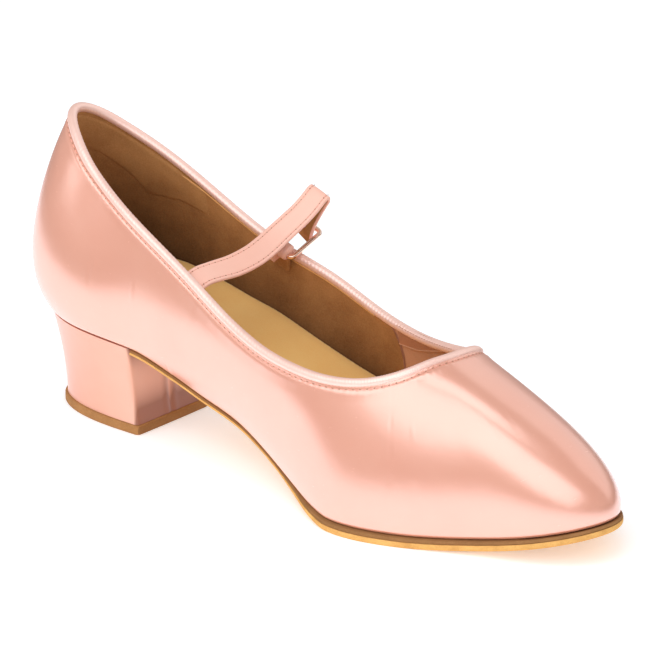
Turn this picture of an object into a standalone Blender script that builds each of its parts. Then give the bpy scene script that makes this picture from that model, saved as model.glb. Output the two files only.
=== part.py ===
"""Ballroom dance shoe, left foot: a low-heeled satin court shoe with an instep strap.

Sizes are in millimetres and become metres where a mesh is made. The shoe's own frame has x
from the back of the heel towards the toe, y towards the outer side of the foot and z up from
the floor. The model's origin is the middle of the heel's tread.
"""
import bpy
import bmesh
import numpy as np
from collections import namedtuple
from mathutils import Vector

MM = 0.001

# Driving sizes of the shoe, mm
GAP = 0.3                 # between pieces that touch
WALL = 1.6                # satin, backing and lining of the upper together
SATIN_TURN = 2.0          # radius of the upper where it turns in under the foot
MARGIN = 7.0              # lasting margin, from the turn to its cut edge
SOLE_FOREPART = 3.2       # outsole edge under the ball and toe
SOLE_WAIST = 1.5          # outsole edge in the waist, skived thin
SOLE_PROUD = 1.0          # outsole edge beyond the upper at the forepart
INSOLE_BED = 2.1          # insole's underside above the upper's, on the lasting margin
INSOLE_TOP = 11.6         # top of the cushioned insole above the upper's underside
INSOLE_TOE = 6.6          # the same at the toe, where the cushion thins out
INSOLE_ARCH = 2.2         # how much higher it is under the arch
INSOLE_CLEAR = 0.9        # insole edge to the inside of the wall
BINDING_TALL = 3.0
BINDING_REACH = 1.62      # from the middle of the rolled binding to its surface
TOP_PIECE = 3.2           # the wearing piece under the heel
TOP_PIECE_PROUD = 0.9
HEEL_BREAST = 50.4        # front face of the heel at the floor
HEEL_BACK = 6.8
HEEL_TREAD_HALF = 17.4    # half width of the heel at the floor
HEEL_MIDDLE = -0.8        # the heel's middle line
HEEL_INSET = 0.2          # top of the heel inside the feather line
HEEL_FLARE = 1.7          # how late the heel widens on its way up, as a power
HEEL_SQUARE = 0.72        # below 1, a back squarer than an ellipse
BREAST_SLANT = 0.6
BREAST_HOLLOW = 1.3
STRAP_WIDE = 8.6
STRAP_THICK = 1.5
STRAP_SLANT = 2.4         # the cut of the strap's free end, longer on its front edge
STRAP_HOLE = 2.2          # for the buckle's prong
STRAP_HOLE_SPAN = (0.6, 1.06)   # the hole's cutter, as shares of the prong's length
BUCKLE_WIDE = 13.0        # along the topline, over the wire
BUCKLE_LONG = 16.2
BUCKLE_CORNER = 1.5
BUCKLE_WIRE = 1.6
PRONG_WIRE = 1.3
PRONG_TIP = (0.9, -0.25)  # the prong's tip, out and up from where it rests on the free bar
PRONG_TIP_THIN = 0.75
TAB_WIDE = 8.8
TAB_ROLL = 2.8            # radius of the satin tab round the buckle's base bar
TAB_THICK = 1.5
TAB_SLOT = 2.2            # slit in the tab for the prong

# Places where the outsole's level changes, mm
TREAD_FLAT_END = 174.0
TOE_TIP = 235.0
TOE_SPRING = 10.6

HEEL_TREAD_CENTRE = 0.5 * (HEEL_BACK + HEEL_BREAST)

# Level of the outsole's underside along the shoe
Level = namedtuple("Level", "x z")
SHANK = (
    Level(0.0, 33.4),
    Level(30.0, 32.3),
    Level(50.0, 29.8),
    Level(67.6, 24.1),
    Level(81.0, 18.9),
    Level(96.2, 14.5),
    Level(110.5, 9.8),
    Level(127.2, 4.9),
    Level(142.0, 1.2),
    Level(150.0, 0.0),
)

# The upper, one row for each wall line round the last, from the middle of the back along the
# inner side, round the toe and back along the outer side. foot is where the line meets the
# sole in plan, swell is how far the lower part of the wall is drawn out from there, ease is
# the same at the topline, and top is the point on the finished topline.
Row = namedtuple("Row", "name foot swell ease top")
LAST = (
    Row("back", (4.6, -0.6), (-12.5, 0.0, 19.0), (-10.5, 0.0, -19.0), (9.7, -0.3, 103.5)),
    Row("back turn", (6.2, -9.6), (-12.3, -4.6, 18.6), (-10.2, -4.0, -18.6), (13.3, -8.2, 102.6)),
    Row("back corner", (11.0, -16.6), (-11.0, -8.5, 18.0), (-9.0, -7.0, -18.0), (22.0, -14.3, 97.4)),
    Row("heel", (29.0, -24.0), (-1.5, -10.5, 17.0), (-1.0, -6.5, -18.0), (34.5, -18.8, 88.6)),
    Row("breast", (50.0, -22.2), (0.0, -9.0, 15.0), (0.5, -4.0, -15.0), (51.8, -22.5, 79.4)),
    Row("waist", (68.0, -20.0), (0.0, -9.5, 13.0), (0.0, -3.5, -12.0), (76.0, -24.3, 67.0)),
    Row("arch", (84.0, -18.8), (0.0, -10.5, 13.0), (-1.0, -3.5, -10.0), (95.4, -27.2, 57.9)),
    Row("arch front", (100.0, -20.3), (0.0, -10.0, 12.0), (-1.0, -4.0, -10.0), (113.0, -30.2, 52.2)),
    Row("behind ball", (117.0, -25.7), (0.0, -8.0, 12.0), (-1.0, -5.0, -11.0), (128.0, -32.0, 50.0)),
    Row("inner ball back", (134.5, -34.0), (0.5, -4.5, 13.0), (0.0, -6.0, -13.0), (142.5, -32.2, 49.4)),
    Row("inner ball", (153.0, -40.1), (1.0, -2.5, 15.0), (2.0, -7.0, -13.0), (156.5, -29.6, 51.0)),
    Row("inner forepart", (176.0, -35.0), (2.0, -2.5, 17.0), (8.0, -8.0, -10.0), (167.3, -23.5, 54.8)),
    Row("inner toe box", (199.0, -24.8), (3.0, -3.0, 18.0), (17.5, -9.0, -7.5), (171.2, -16.0, 56.8)),
    Row("inner toe", (220.5, -16.2), (4.0, -3.0, 18.0), (28.0, -6.0, -9.0), (173.3, -9.5, 57.4)),
    Row("toe", (233.8, -2.0), (3.0, 0.0, 16.0), (33.0, 0.0, -12.5), (173.8, -3.0, 57.3)),
    Row("outer toe", (224.0, 15.5), (2.0, 1.5, 16.0), (29.0, 4.5, -13.0), (172.8, 3.0, 56.2)),
    Row("outer toe box", (202.0, 27.5), (1.5, 1.5, 16.0), (18.0, 7.5, -12.5), (170.6, 9.0, 54.0)),
    Row("outer forepart", (177.0, 34.0), (1.0, 2.0, 16.0), (8.0, 8.5, -12.0), (166.5, 14.5, 50.8)),
    Row("outer ball", (151.0, 36.4), (0.5, 3.0, 15.0), (1.0, 8.0, -13.0), (156.0, 19.0, 47.6)),
    Row("outer ball back", (130.0, 34.0), (0.0, 4.0, 13.0), (-1.0, 6.0, -12.0), (139.0, 22.6, 46.4)),
    Row("outer waist", (108.0, 28.5), (0.0, 6.0, 12.0), (-1.0, 5.0, -11.0), (117.0, 25.8, 49.8)),
    Row("outer arch", (86.0, 24.2), (0.0, 7.0, 13.0), (-1.0, 4.0, -11.0), (96.0, 26.6, 56.9)),
    Row("outer quarter", (67.0, 22.4), (0.0, 8.0, 14.0), (-0.5, 3.5, -12.0), (74.0, 24.4, 64.4)),
    Row("outer breast", (49.0, 22.6), (0.0, 8.5, 15.0), (0.0, 4.0, -15.0), (54.0, 22.0, 74.7)),
    Row("outer heel", (28.0, 22.6), (-1.5, 10.5, 17.0), (-1.0, 6.5, -18.0), (34.5, 19.2, 85.6)),
    Row("outer back corner", (10.6, 15.4), (-11.0, 8.5, 18.0), (-9.0, 7.0, -18.0), (19.3, 13.7, 94.6)),
    Row("outer back turn", (6.0, 8.6), (-12.3, 4.6, 18.6), (-10.2, 4.0, -18.6), (12.4, 8.0, 100.0)),
)

# The strap's middle line, from inside the inner wall, over the instep, up to its fold and
# down again through the buckle, and the direction of its width, seen from the side
Stop = namedtuple("Stop", "x y z wide_x wide_z")
STRAP = (
    Stop(76.6, -23.7, 55.0, 0.90, -0.44),
    Stop(77.2, -22.9, 58.6, 0.90, -0.44),
    Stop(77.8, -21.2, 61.4, 0.90, -0.44),
    Stop(78.6, -17.8, 63.0, 0.90, -0.44),
    Stop(79.6, -12.5, 63.4, 0.88, -0.47),
    Stop(81.3, -5.0, 63.8, 0.84, -0.54),
    Stop(82.6, 3.0, 65.3, 0.82, -0.57),
    Stop(82.8, 10.0, 67.3, 0.82, -0.57),
    Stop(83.2, 16.0, 69.9, 0.85, -0.53),
    Stop(84.3, 20.5, 72.6, 0.88, -0.47),
    Stop(85.6, 24.3, 75.4, 0.91, -0.41),
    Stop(86.8, 27.4, 78.4, 0.93, -0.37),
    Stop(87.5, 29.5, 80.6, 0.94, -0.35),
    Stop(87.6, 30.8, 81.2, 0.94, -0.35),
    Stop(87.3, 31.6, 80.3, 0.94, -0.35),
    Stop(86.0, 31.8, 78.2, 0.94, -0.35),
    Stop(84.0, 31.4, 74.6, 0.93, -0.37),
    Stop(82.3, 30.9, 71.0, 0.93, -0.37),
    Stop(80.9, 30.7, 67.4, 0.93, -0.37),
    Stop(79.9, 31.2, 64.6, 0.93, -0.37),
)

# The buckle's frame lies on its back over the outer topline. BASE is the middle of the bar that
# the tab holds, ACROSS is along that bar and OUT is towards the frame's free end.
BUCKLE_BASE = (79.6, 19.7, 62.5)
BUCKLE_ACROSS = (0.93, 0.05, -0.37)
BUCKLE_OUT = (0.156, 0.912, 0.372)

# The tab's tail from under the roll to the lining, as places out from the base bar and up
TAB_TAIL = ((1.1, -1.2), (0.55, -3.8), (0.7, -6.3), (0.7, -8.4))
TAB_ROLL_MIDDLE = (0.3, 1.1)

# The slit is cut over the roll and then under the bar, each as ranges out and up
TAB_SLOT_OVER = ((-3.5, 4.5), (-0.3, 5.0))
TAB_SLOT_UNDER = ((-3.5, 0.9), (-2.9, 0.5))

# How finely the pieces are divided
AROUND = 96
WALL_STEPS = 9
SOLE_STATIONS = 30
SOLE_ACROSS = 6
INSOLE_STEPS = 25
HEEL_LEVELS = 7
WIRE_SIDES = 8


def periodic_spline(knots, values, at):
    """Smooth closed curve through values, with knots as its parameter and 1 as its period."""
    values = np.asarray(values, float)
    count = len(knots)
    step = np.diff(np.append(knots, knots[0] + 1.0))
    slope = (np.roll(values, -1, axis=0) - values) / step[:, None]
    matrix = np.zeros((count, count))
    right = np.zeros_like(values)
    for i in range(count):
        before = (i - 1) % count
        after = (i + 1) % count
        matrix[i, before] += 1.0 / step[before]
        matrix[i, i] += 2.0 / step[before] + 2.0 / step[i]
        matrix[i, after] += 1.0 / step[i]
        right[i] = 3.0 * (slope[before] / step[before] + slope[i] / step[i])
    tangent = np.linalg.solve(matrix, right)
    at = (np.asarray(at, float) - knots[0]) % 1.0 + knots[0]
    place = np.clip(np.searchsorted(knots, at, side="right") - 1, 0, count - 1)
    after = (place + 1) % count
    t = ((at - knots[place]) / step[place])[:, None]
    h = step[place][:, None]
    return (
        values[place] * (1 + 2 * t) * (1 - t) ** 2
        + tangent[place] * h * t * (1 - t) ** 2
        + values[after] * t * t * (3 - 2 * t)
        + tangent[after] * h * t * t * (t - 1)
    )


def open_spline(table_x, table_y, at):
    """Smooth curve through a table that has no wiggle between its rows."""
    x = np.asarray(table_x, float)
    y = np.asarray(table_y, float)
    slope = np.diff(y) / np.diff(x)
    tangent = np.empty_like(y)
    tangent[1:-1] = np.where(slope[1:] * slope[:-1] > 0,
                             2 * slope[1:] * slope[:-1] / (slope[1:] + slope[:-1] + 1e-12), 0.0)
    tangent[0] = slope[0]
    tangent[-1] = 0.0
    at = np.clip(np.asarray(at, float), x[0], x[-1])
    place = np.clip(np.searchsorted(x, at, side="right") - 1, 0, len(x) - 2)
    h = x[place + 1] - x[place]
    t = (at - x[place]) / h
    return (
        y[place] * (1 + 2 * t) * (1 - t) ** 2
        + tangent[place] * h * t * (1 - t) ** 2
        + y[place + 1] * t * t * (3 - 2 * t)
        + tangent[place + 1] * h * t * t * (t - 1)
    )


def smooth_step(value, low, high):
    t = np.clip((np.asarray(value, float) - low) / (high - low), 0.0, 1.0)
    return t * t * (3 - 2 * t)


def underside(x):
    """Level of the outsole's underside: shank, flat tread, then toe spring."""
    x = np.asarray(x, float)
    shank = open_spline([row.x for row in SHANK], [row.z for row in SHANK], x)
    spring = TOE_SPRING * (np.clip(x - TREAD_FLAT_END, 0, None) / (TOE_TIP - TREAD_FLAT_END)) ** 2
    return shank + spring


def sole_edge(x):
    """Thickness of the outsole: thin in the waist and full under the ball."""
    return SOLE_WAIST + (SOLE_FOREPART - SOLE_WAIST) * smooth_step(x, 112.0, 150.0)


def seat(x):
    """Level of the upper's underside, on the outsole or on the heel."""
    return underside(x) + sole_edge(x) + GAP


def unit(vectors):
    return vectors / np.linalg.norm(vectors, axis=-1, keepdims=True)


def row_knots():
    """A parameter for each row of the last, by the distance from row to row."""
    feet = np.array([row.foot for row in LAST])
    tops = np.array([row.top[:2] for row in LAST])
    middle = 0.6 * feet + 0.4 * tops
    gaps = np.linalg.norm(np.roll(middle, -1, axis=0) - middle, axis=1)
    return np.append(0.0, np.cumsum(gaps)[:-1]) / gaps.sum()


def wall_lines(at):
    """The four control points of the wall line at each place round the shoe."""
    knots = row_knots()
    foot = periodic_spline(knots, [row.foot for row in LAST], at)
    foot = np.column_stack([foot, seat(foot[:, 0])])
    swell = periodic_spline(knots, [row.swell for row in LAST], at)
    ease = periodic_spline(knots, [row.ease for row in LAST], at)
    top = periodic_spline(knots, [row.top for row in LAST], at)
    return foot, foot + swell, top + ease, top


def bezier(controls, t):
    a, b, c, d = controls
    t = np.asarray(t)[..., None]
    return a * (1 - t) ** 3 + b * 3 * t * (1 - t) ** 2 + c * 3 * t * t * (1 - t) + d * t ** 3


def wall_point(controls, distance_up):
    """Points on one wall line at distances measured up from the foot."""
    t = np.linspace(0, 1, 121)
    line = bezier(controls, t)
    run = np.append(0.0, np.cumsum(np.linalg.norm(np.diff(line, axis=0), axis=1)))
    return bezier(controls, np.interp(distance_up, run, t)), run[-1]


def outline_inward(at):
    """Level unit vectors that point in from the feather line."""
    step = 1e-3
    knots = row_knots()
    feet = [row.foot for row in LAST]
    ahead = periodic_spline(knots, feet, np.asarray(at) + step)
    behind = periodic_spline(knots, feet, np.asarray(at) - step)
    along = unit(ahead - behind)
    return np.column_stack([-along[:, 1], along[:, 0]])


def upper_surface(at, wall_steps, stop_below_top):
    """Outer surface of the upper as a grid: lasting margin, turn, then wall to the rim."""
    controls = wall_lines(at)
    inward = outline_inward(at)
    rows = []
    for i in range(len(at)):
        line = [c[i] for c in controls]
        foot = line[0]
        inn = np.array([inward[i][0], inward[i][1], 0.0])
        _, height = wall_point(line, 0.0)
        steps = np.linspace(0, 1, wall_steps) ** 1.15
        reach = SATIN_TURN + steps * (height - stop_below_top - SATIN_TURN)
        wall, _ = wall_point(line, reach)
        margin = []
        for distance in (SATIN_TURN + MARGIN, SATIN_TURN + 0.5 * MARGIN, SATIN_TURN):
            point = foot + inn * distance
            point[2] = seat(point[0])
            margin.append(point)
        corner = 0.5 * foot + 0.25 * (margin[-1] + wall[0])
        rows.append(np.vstack([margin, corner[None], wall]))
    return np.array(rows)


def surface_normals(grid):
    """Outward unit normals of a grid that closes round its first axis."""
    round_shoe = np.roll(grid, -1, axis=0) - np.roll(grid, 1, axis=0)
    up = np.gradient(grid, axis=1)
    return unit(np.cross(round_shoe, up))


def add_object(name, points, faces, material, frame):
    """A closed mesh object from points in mm in the shoe's frame."""
    mesh = bpy.data.meshes.new(name)
    bm = bmesh.new()
    verts = [bm.verts.new(Vector(point) * MM) for point in points]
    for face in faces:
        bm.faces.new([verts[i] for i in face])
    bmesh.ops.recalc_face_normals(bm, faces=bm.faces)
    bm.to_mesh(mesh)
    bm.free()
    mesh.shade_smooth()
    mesh.set_sharp_from_angle(angle=np.radians(40))
    if material:
        mesh.materials.append(material)
    obj = bpy.data.objects.new(name, mesh)
    bpy.context.scene.collection.objects.link(obj)
    obj.parent = frame
    return obj


def loft(rings, closed):
    """Points and faces of rings joined in turn; an open loft gets two end faces."""
    rings = np.asarray(rings)
    count, around = rings.shape[:2]
    faces = []
    for i in range(count if closed else count - 1):
        for j in range(around):
            a = i * around + j
            b = i * around + (j + 1) % around
            c = ((i + 1) % count) * around + (j + 1) % around
            d = ((i + 1) % count) * around + j
            faces.append((a, b, c, d))
    if not closed:
        faces.append(tuple(range(around)))
        faces.append(tuple((count - 1) * around + j for j in reversed(range(around))))
    return rings.reshape(-1, 3), faces


def wire_angles():
    """Directions of the corners of a round section with flat sides facing its own axes."""
    return (np.arange(WIRE_SIDES) + 0.5) * 2 * np.pi / WIRE_SIDES


def make_upper(material, frame):
    """The upper: one hollow wall, open at the collar and under the foot."""
    at = np.arange(AROUND) / AROUND
    outer = upper_surface(at, WALL_STEPS, BINDING_TALL + GAP)
    inner = outer - WALL * surface_normals(outer)
    rings = np.concatenate([outer, inner[:, ::-1]], axis=1)
    points, faces = loft(rings, closed=True)
    return add_object("upper", points, faces, material, frame)


def make_binding(material, frame):
    """The rolled satin binding that finishes the topline all round."""
    at = np.arange(AROUND) / AROUND
    rim = upper_surface(at, WALL_STEPS, 0.0)
    normals = surface_normals(rim)[:, -1]
    up = unit(rim[:, -1] - rim[:, -2])
    middle = rim[:, -1] - up * 0.5 * BINDING_TALL - normals * 0.5 * WALL
    rings = []
    for i in range(AROUND):
        ring = []
        for angle in wire_angles():
            out = BINDING_REACH * np.cos(angle)
            high = BINDING_REACH * np.sin(angle)
            ring.append(middle[i] + normals[i] * out + up[i] * high)
        rings.append(ring)
    points, faces = loft(rings, closed=True)
    return add_object("topline_binding", points, faces, material, frame)


def outline_sides(offset):
    """Inner and outer edges of the sole as tables of y against x, moved out by offset."""
    at = np.linspace(0, 1, 721)[:-1]
    feet = periodic_spline(row_knots(), [row.foot for row in LAST], at)
    feet = feet - outline_inward(at) * offset(feet[:, 0])[:, None]
    toe = int(np.argmax(feet[:, 0]))
    heel = int(np.argmin(feet[:, 0]))
    turned = np.roll(feet, -heel, axis=0)
    split = (toe - heel) % len(feet)
    inner = turned[: split + 1]
    outer = np.vstack([turned[split:], turned[:1]])[::-1]
    return inner, outer


def make_outsole(material, frame):
    """The suede outsole, from the heel's breast to the toe."""
    inner, outer = outline_sides(
        lambda x: HEEL_INSET + (SOLE_PROUD - HEEL_INSET) * smooth_step(x, 120.0, 150.0)
    )
    start = HEEL_BREAST + HEEL_INSET
    length = inner[-1, 0] - 0.05 - start
    rings = []
    for turn in np.linspace(0, np.pi / 2, SOLE_STATIONS):
        x = start + length * np.sin(turn)
        y_inner = np.interp(x, inner[:, 0], inner[:, 1])
        y_outer = np.interp(x, outer[:, 0], outer[:, 1])
        ys = np.linspace(y_inner, y_outer, SOLE_ACROSS)
        bottom = [(x, y, underside(x)) for y in ys]
        top = [(x, y, underside(x) + sole_edge(x)) for y in ys[::-1]]
        rings.append(bottom + top)
    points, faces = loft(rings, closed=False)
    return add_object("outsole", points, faces, material, frame)


def make_insole(material, frame):
    """The cushioned insole, its sides following the inside of the wall up from the margin."""
    at = np.arange(AROUND) / AROUND
    outer = upper_surface(at, INSOLE_STEPS, 0.0)
    inside = outer - (WALL + INSOLE_CLEAR) * surface_normals(outer)
    foot = wall_lines(at)[0]
    low = foot[:, 2] + INSOLE_BED
    thins = smooth_step(foot[:, 0], 120.0, 190.0)
    arch = INSOLE_ARCH * np.exp(-((foot[:, 0] - 77.0) / 16.0) ** 2)
    high = foot[:, 2] + INSOLE_TOP + (INSOLE_TOE - INSOLE_TOP) * thins + arch
    inward = outline_inward(at) * (WALL + SATIN_TURN)
    rings = [np.column_stack([foot[:, :2] + inward, low])]
    for share in (0.35, 0.7, 1.0):
        ring = []
        for i, line in enumerate(inside):
            z = low[i] + (high[i] - low[i]) * share
            rising = line[3:]
            x, y = (np.interp(z, rising[:, 2], rising[:, axis]) for axis in (0, 1))
            ring.append((x, y, z))
        rings.append(ring)
    points, faces = loft(rings, closed=False)
    faces = faces[:-2]
    for base in (0, AROUND * (len(rings) - 1)):
        for i in range(AROUND // 2):
            corners = [i, i + 1, (AROUND - i - 1) % AROUND, (AROUND - i) % AROUND]
            faces.append([base + c for c in dict.fromkeys(corners)])
    return add_object("insole", points, faces, material, frame)


def heel_ring(rise, grow):
    """One level of the heel: a round back between two breast corners, then the breast."""
    inner, outer = outline_sides(lambda x: np.full_like(x, -HEEL_INSET))
    blend = rise ** HEEL_FLARE
    breast = HEEL_BREAST - BREAST_SLANT * rise - BREAST_HOLLOW * 4 * rise * (1 - rise)
    ring = []
    for angle in np.linspace(-np.pi / 2, np.pi / 2, 25):
        turn = np.sin(angle)
        back = np.cos(angle)
        depth = abs(back) ** HEEL_SQUARE
        low_x = breast - (breast - HEEL_BACK) * depth
        low_y = HEEL_MIDDLE + HEEL_TREAD_HALF * turn
        top_x = breast - (breast - inner[0, 0] - 0.1) * depth
        edge = inner if turn < 0 else outer
        top_y = np.interp(top_x, edge[:, 0], edge[:, 1])
        x = low_x + (top_x - low_x) * blend
        y = low_y + (top_y - low_y) * blend
        ring.append([x, y])
    ring = np.array(ring)
    across = np.linspace(ring[-1], ring[0], 6)[1:-1]
    ring = np.vstack([ring, across])
    middle = np.array([HEEL_TREAD_CENTRE, HEEL_MIDDLE])
    return ring + grow * unit(ring - middle)


def make_heel(material, frame):
    """The satin-covered block heel."""
    foot = TOP_PIECE + GAP
    rings = []
    for rise in np.linspace(0, 1, HEEL_LEVELS):
        ring = heel_ring(rise, 0.0)
        top = seat(ring[:, 0]) - GAP
        z = foot + (top - foot) * rise
        rings.append(np.column_stack([ring, z]))
    points, faces = loft(rings, closed=False)
    return add_object("heel_block", points, faces, material, frame)


def make_top_piece(material, frame):
    """The brown wearing piece under the heel."""
    ring = heel_ring(0.0, TOP_PIECE_PROUD)
    rings = [np.column_stack([ring, np.full(len(ring), z)]) for z in (0.0, TOP_PIECE)]
    points, faces = loft(rings, closed=False)
    return add_object("heel_top_piece", points, faces, material, frame)


def cross_section(middle, wide, thick_way, half_wide, half_thick):
    """Eight points round a flat band with eased edges."""
    ease = 0.4 * half_thick
    corners = (
        (-half_wide, -half_thick + ease),
        (-half_wide + ease, -half_thick),
        (half_wide - ease, -half_thick),
        (half_wide, -half_thick + ease),
        (half_wide, half_thick - ease),
        (half_wide - ease, half_thick),
        (-half_wide + ease, half_thick),
        (-half_wide, half_thick - ease),
    )
    return [middle + wide * a + thick_way * b for a, b in corners]


def path_spline(points, per_step):
    """A smooth open path through the points, with a few samples for each step between them."""
    points = np.asarray(points, float)
    gaps = np.linalg.norm(np.diff(points[:, :3], axis=0), axis=1) ** 0.5
    knots = np.append(0.0, np.cumsum(gaps))
    slopes = np.diff(points, axis=0) / gaps[:, None]
    tangents = np.empty_like(points)
    tangents[0] = slopes[0]
    tangents[-1] = slopes[-1]
    share = (gaps[1:] / (gaps[1:] + gaps[:-1]))[:, None]
    tangents[1:-1] = share * slopes[:-1] + (1 - share) * slopes[1:]
    rows = []
    for i, gap in enumerate(gaps):
        for t in np.arange(per_step) / per_step:
            rows.append(
                points[i] * (1 + 2 * t) * (1 - t) ** 2
                + tangents[i] * gap * t * (1 - t) ** 2
                + points[i + 1] * t * t * (3 - 2 * t)
                + tangents[i + 1] * gap * t * t * (t - 1)
            )
    rows.append(points[-1])
    return np.array(rows)


def strap_frames():
    """Middle, width direction and thickness direction at each place along the strap."""
    path = path_spline([(s.x, s.y, s.z, s.wide_x, s.wide_z) for s in STRAP], 3)
    middle = path[:, :3]
    along = unit(np.gradient(middle, axis=0))
    wide = np.column_stack([path[:, 3], np.zeros(len(path)), path[:, 4]])
    wide = unit(wide - along * np.sum(wide * along, axis=1, keepdims=True))
    return middle, wide, np.cross(wide, along), along


def make_strap(material, frame):
    """The satin strap, folded over above the buckle, its free end through the frame."""
    middle, wide, thick_way, along = strap_frames()
    rings = []
    for i in range(len(middle)):
        rings.append(cross_section(middle[i], wide[i], thick_way[i], STRAP_WIDE / 2, STRAP_THICK / 2))
    rings = np.array(rings)
    front = (rings[-1] - middle[-1]) @ wide[-1] / (STRAP_WIDE / 2)
    rings[-1] += np.outer(front * STRAP_SLANT / 2, along[-1])
    points, faces = loft(rings, closed=False)
    strap = add_object("strap", points, faces, material, frame)
    start, end = (prong_line(share) for share in STRAP_HOLE_SPAN)
    hole = add_cutter("strap_hole", start, end, STRAP_HOLE / 2, frame)
    cut(strap, hole)
    return strap


def buckle_place(across, out, up):
    """A point of the buckle in the shoe's frame."""
    way_across = unit(np.array(BUCKLE_ACROSS))
    way_out = np.array(BUCKLE_OUT)
    way_out = unit(way_out - way_across * (way_out @ way_across))
    way_up = np.cross(way_across, way_out)
    return np.array(BUCKLE_BASE) + way_across * across + way_out * out + way_up * up


def prong_line(share):
    """A place along the prong, from the base bar at 0 to the free bar at 1."""
    reach = BUCKLE_LONG - BUCKLE_WIRE
    height = (BUCKLE_WIRE + PRONG_WIRE) / 2 + GAP
    return buckle_place(0.0, share * reach, height)


def make_buckle_frame(material, frame):
    """A rectangular wire frame with round corners."""
    half = (BUCKLE_WIDE - BUCKLE_WIRE) / 2
    reach = BUCKLE_LONG - BUCKLE_WIRE
    corner_reach = BUCKLE_WIRE / 2 / np.cos(np.pi / WIRE_SIDES)
    corners = (
        (half - BUCKLE_CORNER, BUCKLE_CORNER, -90.0),
        (half - BUCKLE_CORNER, reach - BUCKLE_CORNER, 0.0),
        (BUCKLE_CORNER - half, reach - BUCKLE_CORNER, 90.0),
        (BUCKLE_CORNER - half, BUCKLE_CORNER, 180.0),
    )
    rings = []
    for across, out, start in corners:
        for turn in np.radians(start + np.linspace(0.0, 90.0, 5)):
            ring = []
            for angle in wire_angles():
                radius = BUCKLE_CORNER + corner_reach * np.cos(angle)
                up = corner_reach * np.sin(angle)
                ring.append(buckle_place(across + radius * np.cos(turn), out + radius * np.sin(turn), up))
            rings.append(ring)
    points, faces = loft(rings, closed=True)
    return add_object("buckle_frame", points, faces, material, frame)


def make_buckle_tab(material, frame):
    """The satin tab: a roll round the base bar, then a tail stitched to the lining."""
    tail = np.array(TAB_TAIL)
    way = unit(np.gradient(tail, axis=0))
    side = np.column_stack([-way[:, 1], way[:, 0]]) * TAB_THICK / 2
    outer_side = tail + side
    inner_side = tail - side
    middle = np.array(TAB_ROLL_MIDDLE)
    start = np.arctan2(*(outer_side[0] - middle)[::-1])
    end = np.arctan2(*(inner_side[0] - middle)[::-1]) + 2 * np.pi
    arc = np.linspace(start, end, 13)
    roll = middle + TAB_ROLL * np.column_stack([np.cos(arc), np.sin(arc)])
    outline = np.vstack([outer_side[:0:-1], roll, inner_side[1:]])
    bore = BUCKLE_WIRE / 2 / np.cos(np.pi / WIRE_SIDES) + GAP
    turn = np.radians(np.concatenate([
        np.linspace(-88.0, -70.0, len(tail) - 1),
        np.linspace(-55.0, 235.0, len(arc)),
        np.linspace(250.0, 266.0, len(tail) - 1),
    ]))
    hole = bore * np.column_stack([np.cos(turn), np.sin(turn)])
    half = TAB_WIDE / 2
    rings = []
    for loop, across in ((outline, -half), (outline, half), (hole, half), (hole, -half)):
        rings.append([buckle_place(across, out, up) for out, up in loop])
    points, faces = loft(rings, closed=True)
    tab = add_object("buckle_tab", points, faces, material, frame)
    cut(tab, add_box_cutter("tab_slot_over", TAB_SLOT, *TAB_SLOT_OVER, frame))
    cut(tab, add_box_cutter("tab_slot_under", TAB_SLOT, *TAB_SLOT_UNDER, frame))
    return tab


def make_prong(material, frame):
    """The prong: an eye round the base bar, then a pin that rests on the free bar."""
    eye = (BUCKLE_WIRE + PRONG_WIRE) / 2 + GAP
    line = []
    for turn in np.radians(np.linspace(-80.0, -265.0, 10)):
        line.append((eye * np.cos(turn), eye * np.sin(turn)))
    reach = BUCKLE_LONG - BUCKLE_WIRE
    for share in (0.35, 0.7, 1.0):
        line.append((share * reach, eye))
    line.append((reach + PRONG_TIP[0], eye + PRONG_TIP[1]))
    line = np.array(line)
    way = unit(np.gradient(line, axis=0))
    rings = []
    for i, (out, up) in enumerate(line):
        radius = PRONG_WIRE / 2
        if i == len(line) - 1:
            radius *= PRONG_TIP_THIN
        ring = []
        for angle in wire_angles():
            a = radius * np.cos(angle)
            b = radius * np.sin(angle)
            ring.append(buckle_place(a, out - way[i, 1] * b, up + way[i, 0] * b))
        rings.append(ring)
    points, faces = loft(rings, closed=False)
    return add_object("buckle_prong", points, faces, material, frame)


def guide(obj):
    """Marks an object as a cutter that isn't part of the shoe."""
    obj.hide_render = True
    obj.display_type = "WIRE"
    return obj


def add_cutter(name, start, end, radius, frame):
    """A round cutter from start to end."""
    along = unit(end - start)
    side = unit(np.cross(along, (1.0, 0.0, 0.0)))
    other = np.cross(along, side)
    rings = []
    for point in (start, end):
        turns = np.arange(12) * np.pi / 6
        rings.append([point + radius * (side * np.cos(t) + other * np.sin(t)) for t in turns])
    points, faces = loft(rings, closed=False)
    return guide(add_object(name, points, faces, None, frame))


def add_box_cutter(name, width, out_range, up_range, frame):
    """A box cutter in the buckle's own directions."""
    rings = []
    for across in (-width / 2, width / 2):
        corners = ((0, 0), (1, 0), (1, 1), (0, 1))
        rings.append([buckle_place(across, out_range[a], up_range[b]) for a, b in corners])
    points, faces = loft(rings, closed=False)
    return guide(add_object(name, points, faces, None, frame))


def cut(obj, cutter):
    boolean = obj.modifiers.new("cut", "BOOLEAN")
    boolean.operation = "DIFFERENCE"
    boolean.object = cutter
    boolean.solver = "EXACT"


def finish(name, colour, roughness, metallic=0.0):
    material = bpy.data.materials.new(name)
    material.use_nodes = True
    shader = material.node_tree.nodes["Principled BSDF"]
    shader.inputs["Base Color"].default_value = (*colour, 1.0)
    shader.inputs["Roughness"].default_value = roughness
    shader.inputs["Metallic"].default_value = metallic
    return material


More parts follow.
